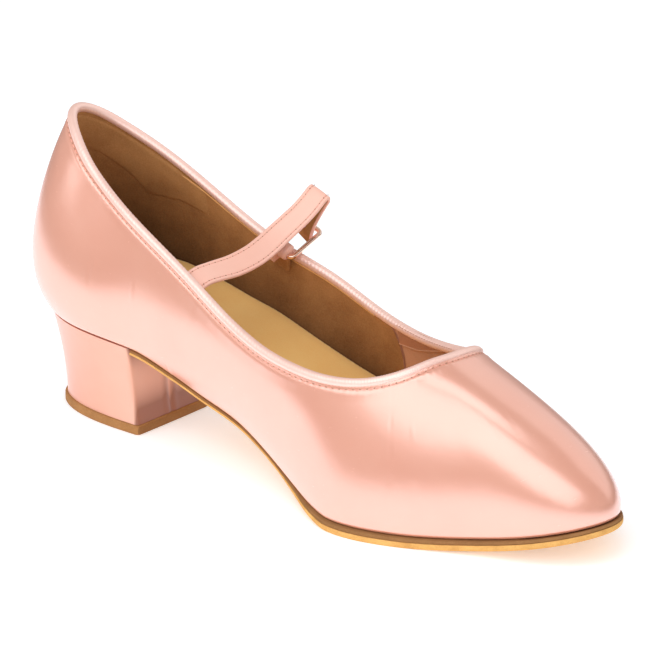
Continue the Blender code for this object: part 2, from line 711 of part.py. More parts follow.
def main():
    for obj in list(bpy.data.objects):
        bpy.data.objects.remove(obj, do_unlink=True)
    frame = bpy.data.objects.new("shoe_frame", None)
    frame.location = (-HEEL_TREAD_CENTRE * MM, -HEEL_MIDDLE * MM, 0.0)
    bpy.context.scene.collection.objects.link(frame)
    satin = finish("satin", (0.90, 0.60, 0.50), 0.35)
    suede = finish("sole_suede", (0.62, 0.42, 0.22), 0.9)
    board = finish("insole_cover", (0.72, 0.50, 0.24), 0.6)
    wear = finish("top_piece", (0.30, 0.18, 0.10), 0.6)
    metal = finish("rose_gold", (0.93, 0.62, 0.50), 0.18, 1.0)
    make_upper(satin, frame)
    make_binding(satin, frame)
    make_outsole(suede, frame)
    make_insole(board, frame)
    make_heel(satin, frame)
    make_top_piece(wear, frame)
    make_strap(satin, frame)
    make_buckle_frame(metal, frame)
    make_buckle_tab(satin, frame)
    make_prong(metal, frame)


main()
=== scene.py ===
"""Looks of a ballroom dance shoe, left foot: peach satin with a brown lined quarter, an instep
strap folded over at a rose gold buckle, a satin-covered heel and a suede sole.

Sizes are in millimetres in the shoe's own frame, with x from the back of the heel towards the
toe, y towards the outer side of the foot and z up, and become metres where a mesh is made.
"""
import bmesh
import bpy
import numpy as np
from collections import namedtuple
from mathutils import Matrix, Vector


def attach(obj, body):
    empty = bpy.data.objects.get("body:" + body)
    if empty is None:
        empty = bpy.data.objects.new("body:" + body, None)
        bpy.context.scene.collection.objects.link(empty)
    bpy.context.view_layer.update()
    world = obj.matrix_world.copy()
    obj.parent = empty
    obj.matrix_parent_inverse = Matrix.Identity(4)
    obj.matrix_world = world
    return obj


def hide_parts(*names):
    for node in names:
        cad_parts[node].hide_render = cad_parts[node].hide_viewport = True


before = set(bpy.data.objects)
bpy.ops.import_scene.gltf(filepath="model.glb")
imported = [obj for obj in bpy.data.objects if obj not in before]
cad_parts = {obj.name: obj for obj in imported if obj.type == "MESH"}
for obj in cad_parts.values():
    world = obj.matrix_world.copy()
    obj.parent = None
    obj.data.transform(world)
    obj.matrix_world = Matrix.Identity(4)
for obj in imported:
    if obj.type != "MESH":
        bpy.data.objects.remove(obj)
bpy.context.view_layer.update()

MM = 0.001
ORIGIN = np.array([28.6, -0.8, 0.0])   # the model's origin, under the middle of the heel

# Driving sizes of the shoe, as in its solids
GAP = 0.3
WALL = 1.6
SATIN_TURN = 2.0
MARGIN = 7.0
SOLE_FOREPART = 3.2
SOLE_WAIST = 1.5
SOLE_PROUD = 1.0
WAIST_PROUD = 0.2
INSOLE_BED = 2.1
INSOLE_TOP = 11.6
INSOLE_TOE = 6.6
INSOLE_ARCH = 2.2
INSOLE_ACROSS = 18
BINDING = 3.24
TOP_PIECE = 3.2
HEEL_BREAST = 50.4
SOLE_START = HEEL_BREAST + 0.2
HEEL_BACK = 6.8
HEEL_TREAD_HALF = 17.4
HEEL_MIDDLE = -0.8
HEEL_INSET = 0.2
HEEL_FLARE = 1.7
HEEL_SQUARE = 0.72
BREAST_SLANT = 0.6
BREAST_HOLLOW = 1.3
STRAP_WIDE = 8.6
STRAP_THICK = 1.5
STRAP_SLANT = 2.4
STRAP_HOLE = 2.2
STRAP_HOLE_SPAN = (0.6, 1.06)      # the hole's cutter, as shares of the prong's length
BUCKLE_WIDE = 13.0
BUCKLE_LONG = 16.2
BUCKLE_CORNER = 1.5
BUCKLE_WIRE = 1.6
PRONG_WIRE = 1.3
TAB_WIDE = 8.8
TAB_ROLL = 2.8
TAB_THICK = 1.5
TAB_SLOT = 2.2
TREAD_FLAT_END = 174.0
TOE_TIP = 235.0
TOE_SPRING = 10.6
# Level of the outsole's underside along the shoe
Level = namedtuple("Level", "x z")
SHANK = (
    Level(0.0, 33.4),
    Level(30.0, 32.3),
    Level(50.0, 29.8),
    Level(67.6, 24.1),
    Level(81.0, 18.9),
    Level(96.2, 14.5),
    Level(110.5, 9.8),
    Level(127.2, 4.9),
    Level(142.0, 1.2),
    Level(150.0, 0.0),
)

# The upper, one row for each wall line round the last, from the middle of the back along the
# inner side, round the toe and back along the outer side. foot is where the line meets the
# sole in plan, swell is how far the lower part of the wall is drawn out from there, ease is
# the same at the topline, and top is the point on the finished topline.
Row = namedtuple("Row", "name foot swell ease top")
LAST = (
    Row("back", (4.6, -0.6), (-12.5, 0.0, 19.0), (-10.5, 0.0, -19.0), (9.7, -0.3, 103.5)),
    Row("back turn", (6.2, -9.6), (-12.3, -4.6, 18.6), (-10.2, -4.0, -18.6), (13.3, -8.2, 102.6)),
    Row("back corner", (11.0, -16.6), (-11.0, -8.5, 18.0), (-9.0, -7.0, -18.0), (22.0, -14.3, 97.4)),
    Row("heel", (29.0, -24.0), (-1.5, -10.5, 17.0), (-1.0, -6.5, -18.0), (34.5, -18.8, 88.6)),
    Row("breast", (50.0, -22.2), (0.0, -9.0, 15.0), (0.5, -4.0, -15.0), (51.8, -22.5, 79.4)),
    Row("waist", (68.0, -20.0), (0.0, -9.5, 13.0), (0.0, -3.5, -12.0), (76.0, -24.3, 67.0)),
    Row("arch", (84.0, -18.8), (0.0, -10.5, 13.0), (-1.0, -3.5, -10.0), (95.4, -27.2, 57.9)),
    Row("arch front", (100.0, -20.3), (0.0, -10.0, 12.0), (-1.0, -4.0, -10.0), (113.0, -30.2, 52.2)),
    Row("behind ball", (117.0, -25.7), (0.0, -8.0, 12.0), (-1.0, -5.0, -11.0), (128.0, -32.0, 50.0)),
    Row("inner ball back", (134.5, -34.0), (0.5, -4.5, 13.0), (0.0, -6.0, -13.0), (142.5, -32.2, 49.4)),
    Row("inner ball", (153.0, -40.1), (1.0, -2.5, 15.0), (2.0, -7.0, -13.0), (156.5, -29.6, 51.0)),
    Row("inner forepart", (176.0, -35.0), (2.0, -2.5, 17.0), (8.0, -8.0, -10.0), (167.3, -23.5, 54.8)),
    Row("inner toe box", (199.0, -24.8), (3.0, -3.0, 18.0), (17.5, -9.0, -7.5), (171.2, -16.0, 56.8)),
    Row("inner toe", (220.5, -16.2), (4.0, -3.0, 18.0), (28.0, -6.0, -9.0), (173.3, -9.5, 57.4)),
    Row("toe", (233.8, -2.0), (3.0, 0.0, 16.0), (33.0, 0.0, -12.5), (173.8, -3.0, 57.3)),
    Row("outer toe", (224.0, 15.5), (2.0, 1.5, 16.0), (29.0, 4.5, -13.0), (172.8, 3.0, 56.2)),
    Row("outer toe box", (202.0, 27.5), (1.5, 1.5, 16.0), (18.0, 7.5, -12.5), (170.6, 9.0, 54.0)),
    Row("outer forepart", (177.0, 34.0), (1.0, 2.0, 16.0), (8.0, 8.5, -12.0), (166.5, 14.5, 50.8)),
    Row("outer ball", (151.0, 36.4), (0.5, 3.0, 15.0), (1.0, 8.0, -13.0), (156.0, 19.0, 47.6)),
    Row("outer ball back", (130.0, 34.0), (0.0, 4.0, 13.0), (-1.0, 6.0, -12.0), (139.0, 22.6, 46.4)),
    Row("outer waist", (108.0, 28.5), (0.0, 6.0, 12.0), (-1.0, 5.0, -11.0), (117.0, 25.8, 49.8)),
    Row("outer arch", (86.0, 24.2), (0.0, 7.0, 13.0), (-1.0, 4.0, -11.0), (96.0, 26.6, 56.9)),
    Row("outer quarter", (67.0, 22.4), (0.0, 8.0, 14.0), (-0.5, 3.5, -12.0), (74.0, 24.4, 64.4)),
    Row("outer breast", (49.0, 22.6), (0.0, 8.5, 15.0), (0.0, 4.0, -15.0), (54.0, 22.0, 74.7)),
    Row("outer heel", (28.0, 22.6), (-1.5, 10.5, 17.0), (-1.0, 6.5, -18.0), (34.5, 19.2, 85.6)),
    Row("outer back corner", (10.6, 15.4), (-11.0, 8.5, 18.0), (-9.0, 7.0, -18.0), (19.3, 13.7, 94.6)),
    Row("outer back turn", (6.0, 8.6), (-12.3, 4.6, 18.6), (-10.2, 4.0, -18.6), (12.4, 8.0, 100.0)),
)

# The strap's middle line, from inside the inner wall, over the instep, up to its fold and
# down again through the buckle, and the direction of its width, seen from the side
Stop = namedtuple("Stop", "x y z wide_x wide_z")
STRAP = (
    Stop(76.6, -23.7, 55.0, 0.90, -0.44),
    Stop(77.2, -22.9, 58.6, 0.90, -0.44),
    Stop(77.8, -21.2, 61.4, 0.90, -0.44),
    Stop(78.6, -17.8, 63.0, 0.90, -0.44),
    Stop(79.6, -12.5, 63.4, 0.88, -0.47),
    Stop(81.3, -5.0, 63.8, 0.84, -0.54),
    Stop(82.6, 3.0, 65.3, 0.82, -0.57),
    Stop(82.8, 10.0, 67.3, 0.82, -0.57),
    Stop(83.2, 16.0, 69.9, 0.85, -0.53),
    Stop(84.3, 20.5, 72.6, 0.88, -0.47),
    Stop(85.6, 24.3, 75.4, 0.91, -0.41),
    Stop(86.8, 27.4, 78.4, 0.93, -0.37),
    Stop(87.5, 29.5, 80.6, 0.94, -0.35),
    Stop(87.6, 30.8, 81.2, 0.94, -0.35),
    Stop(87.3, 31.6, 80.3, 0.94, -0.35),
    Stop(86.0, 31.8, 78.2, 0.94, -0.35),
    Stop(84.0, 31.4, 74.6, 0.93, -0.37),
    Stop(82.3, 30.9, 71.0, 0.93, -0.37),
    Stop(80.9, 30.7, 67.4, 0.93, -0.37),
    Stop(79.9, 31.2, 64.6, 0.93, -0.37),
)

# The buckle's frame lies on its back over the outer topline. BASE is the middle of the bar that
# the tab holds, ACROSS is along that bar and OUT is towards the frame's free end.
BUCKLE_BASE = (79.6, 19.7, 62.5)
BUCKLE_ACROSS = (0.93, 0.05, -0.37)
BUCKLE_OUT = (0.156, 0.912, 0.372)

# The tab's tail from under the roll to the lining, as places out from the base bar and up
TAB_TAIL = ((1.1, -1.2), (0.55, -3.8), (0.7, -6.3), (0.7, -8.4))
TAB_ROLL_MIDDLE = (0.3, 1.1)

# The tab's slit for the prong, over the base bar and under it, as spans out from the bar and up
TAB_SLOT_OVER = ((-3.5, 4.5), (-0.3, 5.0))
TAB_SLOT_UNDER = ((-3.5, 0.9), (-2.9, 0.5))

# How finely the pieces are made
CLOTH_UNIT = 10.0          # mm of cloth for each unit of the pieces' cloth map
CURVE = np.linspace(0, 1, 161)
SATIN_ROUND = 640
SATIN_DOWN = 44
SATIN_THICK = 0.7
BINDING_ROUND = 2100
BINDING_RING = 14
SOLE_STATIONS = 150
HEEL_BACK_STEPS = 96       # from one breast corner round the back to the other
BREAST_STEPS = 44

# Edge of the outsole's two layers from below: mm out past its usual edge, share of the sole's
# thickness there and mm above that
Rim = namedtuple("Rim", "out share lift")
SUEDE_EDGE = (
    Rim(-0.55, 0.0, 0.0),
    Rim(-0.18, 0.10, 0.0),
    Rim(-0.02, 0.24, 0.0),
    Rim(0.0, 0.42, 0.0),
    Rim(-0.05, 0.64, 0.0),
)
DYED_EDGE = (
    Rim(-0.30, 0.64, 0.04),
    Rim(-0.16, 0.74, 0.0),
    Rim(-0.22, 0.90, 0.0),
    Rim(-0.50, 1.0, 0.12),
)

# Sewing, mm
STITCH_BELOW = 3.95        # the binding's stitches below the topline
RIB_PITCH = 1.2
RIB_DEEP = 0.04
RIB_SLANT = 1.6
STRAP_STITCH = 3.05        # the strap's stitches from its middle line
STRAP_EDGE = 0.55          # radius of the strap's turned edge
STRAP_FACE = 0.60 * STRAP_THICK / 2 + 0.32
STRAP_UNDER = -0.42

# Places down the satin near the topline where it needs close rows
SATIN_NEAR_TOP = np.array([1.0, 1.8, 2.5, 3.0, 3.35, 3.65, 3.95, 4.25, 4.55, 4.95, 5.5, 6.2, 7.2, 8.6])

# Soft dents and swells of the satin: where round the shoe and how far below the topline
Dent = namedtuple("Dent", "at below half_at half_below slant out")
DENTS = (
    Dent(0.092, 10.0, 0.0050, 4.5, 500.0, -0.22),
    Dent(0.104, 11.0, 0.0055, 5.0, 420.0, 0.20),
    Dent(0.118, 9.5, 0.0050, 4.0, 380.0, -0.25),
    Dent(0.131, 11.5, 0.0060, 5.0, 300.0, 0.20),
    Dent(0.146, 9.0, 0.0055, 4.0, 260.0, -0.22),
    Dent(0.163, 10.0, 0.0070, 4.5, 200.0, 0.16),
    Dent(0.183, 9.0, 0.0070, 4.0, 100.0, -0.14),
    Dent(0.060, 12.0, 0.0060, 6.0, 300.0, -0.15),
    Dent(0.845, 10.0, 0.0060, 4.5, -300.0, -0.18),
    Dent(0.870, 11.0, 0.0060, 5.0, -350.0, 0.18),
    Dent(0.893, 10.0, 0.0055, 4.5, -400.0, -0.20),
    Dent(0.385, 20.0, 0.0100, 2.6, 60.0, -0.10),
    Dent(0.402, 25.0, 0.0090, 2.4, 90.0, 0.10),
    Dent(0.446, 40.0, 0.0050, 9.0, 300.0, -0.04),
    Dent(0.458, 42.0, 0.0045, 8.0, 250.0, 0.04),
    Dent(0.474, 44.0, 0.0050, 8.0, 120.0, -0.04),
    Dent(0.540, 42.0, 0.0060, 8.0, -250.0, 0.04),
)

# Edges inside the shoe. Most of their rows are the output of a separate script, for points
# picked by eye on the photograph, and the others are rounded from it or set by hand.

# Front edge of the quarter lining on the outer side, down the inside wall
Edge = namedtuple("Edge", "below at")
LINING_FRONT = (
    Edge(1.5, 0.7299),
    Edge(3.5, 0.7252),
    Edge(6.0, 0.7226),
    Edge(10.4, 0.7188),
    Edge(15.3, 0.7158),
    Edge(19.1, 0.7146),
    Edge(26.0, 0.7140),
    Edge(38.0, 0.7140),
)

# Lower edge of the throat's facing on the outer side, from the lining's front seam forwards
FACING = (
    Edge(9.4, 0.7194),
    Edge(8.6, 0.7097),
    Edge(7.8, 0.7007),
    Edge(4.4, 0.6813),
    Edge(0.9, 0.6562),
)

# Golden cut edge of the quarter lining, from the outer side to the middle of the back
CUT_EDGE = (
    Edge(3.5, 0.7440),
    Edge(3.5, 0.8600),
    Edge(4.2, 0.8960),
    Edge(6.3, 0.9330),
    Edge(6.5, 0.9640),
    Edge(5.4, 0.9965),
    Edge(5.4, 1.0000),
)

# The inner side of the throat: where the lining's edge starts, and how its places spread
THROAT_INNER = 0.263
THROAT_SPREAD = 1.9

# The linings start under the binding, and the vamp's goes on behind the quarter's
LINING_TOP = 1.6
LINING_LAP = 0.012

# Lower edge of the heel grip, from the middle of the back round to each side
GRIP = (
    Edge(17.5, 0.000),
    Edge(18.0, 0.025),
    Edge(21.0, 0.045),
    Edge(25.0, 0.056),
    Edge(18.0, 0.081),
    Edge(13.0, 0.110),
)


WHITE = (1.0, 1.0, 1.0, 1.0)

# Satin finishes: two tones, how much the threads change the tone, and roughness
Satin = namedtuple("Satin", "key name colour deep thread rough")
SATINS = (
    Satin("satin", "peach_satin", (0.87, 0.37, 0.24), (0.83, 0.31, 0.19), 0.25, 0.26),
    Satin("heel", "heel_satin", (0.85, 0.46, 0.34), (0.80, 0.39, 0.27), 0.25, 0.32),
    Satin("binding", "binding_satin", (1.0, 0.60, 0.48), (0.95, 0.50, 0.38), 0.30, 0.42),
    Satin("strap", "strap_satin", (0.96, 0.53, 0.41), (0.90, 0.45, 0.33), 0.30, 0.42),
)
# Painted shade on the heel's satin: its back curve is tinted darker and more salmon, and its breast much
# darker, where less light falls
HEEL_BACK_PAINTED_SHADE = (0.93, 0.72, 0.62, 1)
HEEL_BREAST_PAINTED_SHADE = (0.36, 0.25, 0.19, 1)

# Finishes with a short nap: two tones, patches for each metre, their contrast, relief in mm and
# the tone of the painted shade deep inside the shoe, low down and towards its back
Nap = namedtuple("Nap", "key name colour deep size contrast relief tone", defaults=(1.0,))
NAPS = (
    Nap("suede", "quarter_lining_suede", (0.54, 0.25, 0.090), (0.31, 0.125, 0.040), 75.0, 0.6, 0.10, 0.20),
    Nap("grip", "heel_grip_suede", (0.56, 0.27, 0.10), (0.34, 0.14, 0.046), 75.0, 0.6, 0.10, 0.20),
    Nap("vamp_cloth", "vamp_lining_cloth", (0.66, 0.34, 0.20), (0.55, 0.25, 0.13), 60.0, 0.4, 0.05),
    # The facing's dark tone is partly the turned-in cloth and partly painted shade under the binding
    Nap("facing", "throat_facing_cloth_and_painted_shade", (0.55, 0.24, 0.13), (0.44, 0.17, 0.08), 60.0, 0.4, 0.05),
    Nap("insole", "insole_leather", (1.0, 0.60, 0.20), (0.96, 0.50, 0.14), 40.0, 0.6, 0.03),
    Nap("sole", "sole_suede", (0.88, 0.48, 0.15), (0.64, 0.31, 0.09), 150.0, 0.8, 0.22),
    Nap("dye_and_painted_shade", "sole_dyed_edge", (0.34, 0.16, 0.06), (0.22, 0.10, 0.035), 120.0, 0.6, 0.06),
    Nap("gold_edge", "lining_cut_edge", (0.84, 0.45, 0.17), (0.70, 0.33, 0.11), 150.0, 0.6, 0.05),
    Nap("wear", "top_piece_brown", (0.46, 0.22, 0.08), (0.32, 0.14, 0.05), 130.0, 0.6, 0.05),
    Nap("thread", "peach_thread", (0.80, 0.40, 0.30), (0.66, 0.30, 0.22), 300.0, 0.5, 0.04),
    Nap("shade", "needle_hole_shade", (0.44, 0.20, 0.135), (0.36, 0.16, 0.10), 400.0, 0.5, 0.02),
)


def hermite(start, leave, end, arrive, step, t):
    """The cubic between two values with given slopes, over a step, at shares t of it."""
    return (
        start * (1 + 2 * t) * (1 - t) ** 2
        + leave * step * t * (1 - t) ** 2
        + end * t * t * (3 - 2 * t)
        + arrive * step * t * t * (t - 1)
    )


def periodic_spline(knots, values, at):
    """Smooth closed curve through values, with knots as its parameter and 1 as its period."""
    values = np.asarray(values, float)
    count = len(knots)
    step = np.diff(np.append(knots, knots[0] + 1.0))
    slope = (np.roll(values, -1, axis=0) - values) / step[:, None]
    matrix = np.zeros((count, count))
    right = np.zeros_like(values)
    for i in range(count):
        before = (i - 1) % count
        after = (i + 1) % count
        matrix[i, before] += 1.0 / step[before]
        matrix[i, i] += 2.0 / step[before] + 2.0 / step[i]
        matrix[i, after] += 1.0 / step[i]
        right[i] = 3.0 * (slope[before] / step[before] + slope[i] / step[i])
    tangent = np.linalg.solve(matrix, right)
    at = (np.asarray(at, float) - knots[0]) % 1.0 + knots[0]
    place = np.clip(np.searchsorted(knots, at, side="right") - 1, 0, count - 1)
    after = (place + 1) % count
    t = ((at - knots[place]) / step[place])[:, None]
    h = step[place][:, None]
    return hermite(values[place], tangent[place], values[after], tangent[after], h, t)


def open_spline(table_x, table_y, at):
    """Smooth curve through a table that has no wiggle between its rows."""
    x = np.asarray(table_x, float)
    y = np.asarray(table_y, float)
    slope = np.diff(y) / np.diff(x)
    tangent = np.empty_like(y)
    tangent[1:-1] = np.where(slope[1:] * slope[:-1] > 0,
                             2 * slope[1:] * slope[:-1] / (slope[1:] + slope[:-1] + 1e-12), 0.0)
    tangent[0] = slope[0]
    tangent[-1] = 0.0
    at = np.clip(np.asarray(at, float), x[0], x[-1])
    place = np.clip(np.searchsorted(x, at, side="right") - 1, 0, len(x) - 2)
    h = x[place + 1] - x[place]
    t = (at - x[place]) / h
    return hermite(y[place], tangent[place], y[place + 1], tangent[place + 1], h, t)


def smooth_step(value, low, high):
    """0 up to low, 1 from high on, and a smooth rise between them."""
    t = np.clip((np.asarray(value, float) - low) / (high - low), 0.0, 1.0)
    return t * t * (3 - 2 * t)


def underside(x):
    """Level of the outsole's underside: shank, flat tread, then toe spring."""
    x = np.asarray(x, float)
    shank = open_spline([row.x for row in SHANK], [row.z for row in SHANK], x)
    spring = TOE_SPRING * (np.clip(x - TREAD_FLAT_END, 0, None) / (TOE_TIP - TREAD_FLAT_END)) ** 2
    return shank + spring


def sole_edge(x):
    """Thickness of the outsole: thin in the waist and full under the ball."""
    return SOLE_WAIST + (SOLE_FOREPART - SOLE_WAIST) * smooth_step(x, 112.0, 150.0)


def seat(x):
    """Level of the upper's underside, on the outsole or on the heel."""
    return underside(x) + sole_edge(x) + GAP


def unit(vectors):
    """Vectors made one long."""
    return vectors / np.linalg.norm(vectors, axis=-1, keepdims=True)


def row_knots():
    """A parameter for each row of the last, by the distance from row to row."""
    feet = np.array([row.foot for row in LAST])
    tops = np.array([row.top[:2] for row in LAST])
    middle = 0.6 * feet + 0.4 * tops
    gaps = np.linalg.norm(np.roll(middle, -1, axis=0) - middle, axis=1)
    return np.append(0.0, np.cumsum(gaps)[:-1]) / gaps.sum()


def wall_lines(at):
    """The four control points of the wall line at each place round the shoe."""
    knots = row_knots()
    foot = periodic_spline(knots, [row.foot for row in LAST], at)
    foot = np.column_stack([foot, seat(foot[:, 0])])
    swell = periodic_spline(knots, [row.swell for row in LAST], at)
    ease = periodic_spline(knots, [row.ease for row in LAST], at)
    top = periodic_spline(knots, [row.top for row in LAST], at)
    return foot, foot + swell, top + ease, top


def bezier(controls, t):
    """Points of a cubic curve from its four control points."""
    a, b, c, d = controls
    t = np.asarray(t)[..., None]
    return a * (1 - t) ** 3 + b * 3 * t * (1 - t) ** 2 + c * 3 * t * t * (1 - t) + d * t ** 3


def outline_inward(at):
    """Level unit vectors that point in from the feather line."""
    step = 1e-3
    knots = row_knots()
    feet = [row.foot for row in LAST]
    ahead = periodic_spline(knots, feet, np.asarray(at) + step)
    behind = periodic_spline(knots, feet, np.asarray(at) - step)
    along = unit(ahead - behind)
    return np.column_stack([-along[:, 1], along[:, 0]])


def placed(points):
    """Points of the shoe's frame, in mm, as points of the model, in metres."""
    return (np.asarray(points, float).reshape(-1, 3) - ORIGIN) * MM


def add_piece(name, points, faces, material, cloth=None, crease=50.0):
    """A closed mesh that rides with the shoe; cloth is each point's place on the cloth, in mm."""
    mesh = bpy.data.meshes.new(name)
    mesh.from_pydata(placed(points).tolist(), [], faces)
    if cloth is not None:
        corner = np.empty(len(mesh.loops), int)
        mesh.loops.foreach_get("vertex_index", corner)
        flat = np.asarray(cloth, float).reshape(-1, 2) / CLOTH_UNIT
        mesh.uv_layers.new(name="cloth").data.foreach_set("uv", flat[corner].ravel())
    bm = bmesh.new()
    bm.from_mesh(mesh)
    bmesh.ops.recalc_face_normals(bm, faces=bm.faces)
    bm.to_mesh(mesh)
    bm.free()
    mesh.shade_smooth()
    mesh.set_sharp_from_angle(angle=np.radians(crease))
    mesh.materials.append(material)
    piece = bpy.data.objects.new(name, mesh)
    bpy.context.scene.collection.objects.link(piece)
    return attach(piece, "root")


def loft(rings, closed):
    """Points and faces of rings joined in turn; an open loft gets an end face at each end."""
    rings = np.asarray(rings, float)
    count, around = rings.shape[:2]
    index = np.arange(count * around).reshape(count, around)
    ahead = np.roll(index, -1, axis=0) if closed else index[1:]
    here = index if closed else index[:-1]
    corners = (here, np.roll(here, -1, axis=1), np.roll(ahead, -1, axis=1), ahead)
    faces = np.stack(corners, axis=-1).reshape(-1, 4).tolist()
    if not closed:
        faces.append(index[0].tolist())
        faces.append(index[-1, ::-1].tolist())
    return rings.reshape(-1, 3), faces


def sheet(grid, back):
    """A thin closed sheet between a grid and another of the same size behind it."""
    rings = np.concatenate([grid, back[:, ::-1]], axis=1)
    return loft(rings, closed=False)


def lengths(points):
    """Distance along a line of points from its first."""
    return np.append(0.0, np.cumsum(np.linalg.norm(np.diff(points, axis=0), axis=1)))


def wall_outer(at, below):
    """Outer wall: a line for each place round the shoe, a point for each distance down it."""
    controls = wall_lines(at)
    line = bezier([c[:, None, :] for c in controls], CURVE[None, :])
    step = np.linalg.norm(np.diff(line, axis=1), axis=2)
    run = np.concatenate([np.zeros((len(at), 1)), np.cumsum(step, axis=1)], axis=1)
    below = np.broadcast_to(below, (len(at), np.shape(below)[-1]))
    points = np.empty(below.shape + (3,))
    for i in range(len(at)):
        share = np.interp(run[i, -1] - below[i], run[i], CURVE)
        points[i] = bezier([c[i] for c in controls], share)
    return points, run[:, -1]


def wall_sheet(at, below, depth=0.0):
    """The wall moved inward by depth, and its outward normals."""
    here, _ = wall_outer(at, below)
    ahead, _ = wall_outer(at + 7e-4, below)
    behind, _ = wall_outer(at - 7e-4, below)
    lower, _ = wall_outer(at, np.asarray(below) + 0.15)
    upper, _ = wall_outer(at, np.maximum(np.asarray(below) - 0.15, 0.0))
    normal = unit(np.cross(ahead - behind, upper - lower))
    return here - normal * depth, normal


def wall_length(at):
    """Length of each wall line, from the feather line to the topline."""
    return wall_outer(at, np.zeros(1))[1]


def foot_turn(at, wall_end, depth):
    """Rows that carry the wall on under the foot to the cut edge of the lasting margin."""
    foot = wall_lines(at)[0] + np.array([0.0, 0.0, depth])
    inward = np.column_stack([outline_inward(at), np.zeros(len(at))])
    flat = foot + inward * (SATIN_TURN + depth)
    cut = foot + inward * (SATIN_TURN + MARGIN)
    for row in (flat, cut):
        row[:, 2] = seat(row[:, 0]) + depth
    corner = foot + inward * depth
    rows = []
    for s in np.linspace(0, 1, 8)[1:]:
        rows.append(wall_end * (1 - s) ** 2 + corner * 2 * s * (1 - s) + flat * s * s)
    rows.append(0.5 * (flat + cut))
    rows.append(cut)
    return np.stack(rows, axis=1)


def bell(value, middle, half_width):
    """A smooth bump of height 1."""
    return np.exp(-((value - middle) / half_width) ** 2)


def satin_relief(at, below, along):
    """How far the satin stands out from the wall: the seam's groove, puckers and soft dents."""
    place = at[:, None]
    run = along[:, None]
    relief = -0.20 * bell(below, STITCH_BELOW, 0.42) + 0.10 * bell(below, STITCH_BELOW + 1.6, 1.0)
    gather = np.sin(2 * np.pi * run / 2.45) + 0.6 * np.sin(2 * np.pi * run / 5.3 + 1.0)
    relief = relief + 0.035 * gather * bell(below, STITCH_BELOW + 0.8, 1.6)
    for row in DENTS:
        turn = (place - row.at + 0.5) % 1.0 - 0.5
        run_off = turn / row.half_at
        fall_off = (below - row.below - row.slant * run_off) / row.half_below
        relief = relief + row.out * np.exp(-run_off ** 2 - fall_off ** 2)
    centre = np.minimum(place, 1 - place) / 0.0022
    relief = relief - 0.22 * np.exp(-centre ** 2) + 0.09 * np.exp(-(centre / 2.6 - 1) ** 2 * 4)
    return relief


def make_satin_upper(material):
    """The satin itself, one skin from under the binding to the lasting margin."""
    at = np.arange(SATIN_ROUND) / SATIN_ROUND
    length = wall_length(at)
    near = np.tile(SATIN_NEAR_TOP, (len(at), 1))
    rest = (length - SATIN_TURN)[:, None] - SATIN_NEAR_TOP[-1]
    down = SATIN_NEAR_TOP[-1] + rest * np.linspace(0, 1, SATIN_DOWN)[1:]
    below = np.hstack([near, down])
    wall, normal = wall_sheet(at, below)
    along = lengths(wall[:, len(SATIN_NEAR_TOP)])
    wall = wall + normal * satin_relief(at, below, along)[..., None]
    outer = np.concatenate([wall, foot_turn(at, wall[:, -1], 0.0)], axis=1)
    back_wall, _ = wall_sheet(at, below[:, ::7], SATIN_THICK)
    inner = np.concatenate([back_wall, foot_turn(at, back_wall[:, -1], SATIN_THICK)], axis=1)
    rings = np.concatenate([outer, inner[:, ::-1]], axis=1)
    across = np.concatenate([below, below[:, -1:] + np.arange(1, 10)[None]], axis=1)
    inside = np.concatenate([below[:, ::7], below[:, -1:] + np.arange(1, 10)[None]], axis=1)
    down_cloth = np.concatenate([across, inside[:, ::-1]], axis=1)
    cloth = np.stack([np.broadcast_to(along[:, None], down_cloth.shape), down_cloth], axis=-1)
    points, faces = loft(rings, closed=True)
    piece = add_piece("satin_upper", points, faces, material, cloth)
    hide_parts("upper")
    return piece


def topline_frames(count):
    """Rim of the collar: points, outward and upward directions, and distance round it."""
    at = np.arange(count) / count
    rim, normal = wall_sheet(at, np.array([0.0, 0.5]))
    up = unit(rim[:, 0] - rim[:, 1])
    return at, rim[:, 0], normal[:, 0], up, lengths(rim[:, 0])


def make_binding(material):
    """The satin binding rolled over the topline, with its fine slanting ribs."""
    at, rim, normal, up, along = topline_frames(BINDING_ROUND)
    around = np.linspace(0, 2 * np.pi, BINDING_RING, endpoint=False) - np.pi / 2
    half = BINDING / 2
    middle = rim - up * half - normal * (WALL / 2)
    out = np.sign(np.cos(around)) * np.abs(np.cos(around)) ** 0.86
    high = np.sign(np.sin(around)) * np.abs(np.sin(around)) ** 0.9
    rings = []
    cloth = []
    ribs = round(along[-1] / RIB_PITCH)
    for i in range(len(at)):
        phase = 2 * np.pi * ribs * at[i] + RIB_SLANT * around
        swell = 1 + RIB_DEEP / half * (np.sin(phase) - 1) * (0.55 + 0.45 * np.cos(around / 2 - np.pi / 4))
        ring = middle[i] + np.outer(out * half * swell, normal[i]) + np.outer(high * half * swell, up[i])
        rings.append(ring)
        cloth.append(np.column_stack([np.full(len(around), along[i]), half * (around + np.pi / 2)]))
    points, faces = loft(rings, closed=True)
    piece = add_piece("binding_satin", points, faces, material, cloth, crease=80)
    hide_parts("topline_binding")
    return piece


def capsule(middle, along, side, out, half_long, half_side, half_out):
    """One raised thread of a stitch, as points and faces."""
    rings = []
    for share in (-1.0, -0.8, -0.35, 0.35, 0.8, 1.0):
        fat = np.sqrt(max(1 - share ** 2, 0.04))
        centre = middle + along * half_long * share
        ring = []
        for turn in np.arange(6) * np.pi / 3:
            across = side * half_side * fat * np.cos(turn)
            ring.append(centre + across + out * half_out * fat * np.sin(turn))
        rings.append(ring)
    return loft(rings, closed=False)


def join_parts(parts):
    """One list of points and faces from several."""
    points = []
    faces = []
    count = 0
    for some, joined in parts:
        points.append(some)
        faces.extend([[i + count for i in face] for face in joined])
        count += len(some)
    return np.vstack(points), faces


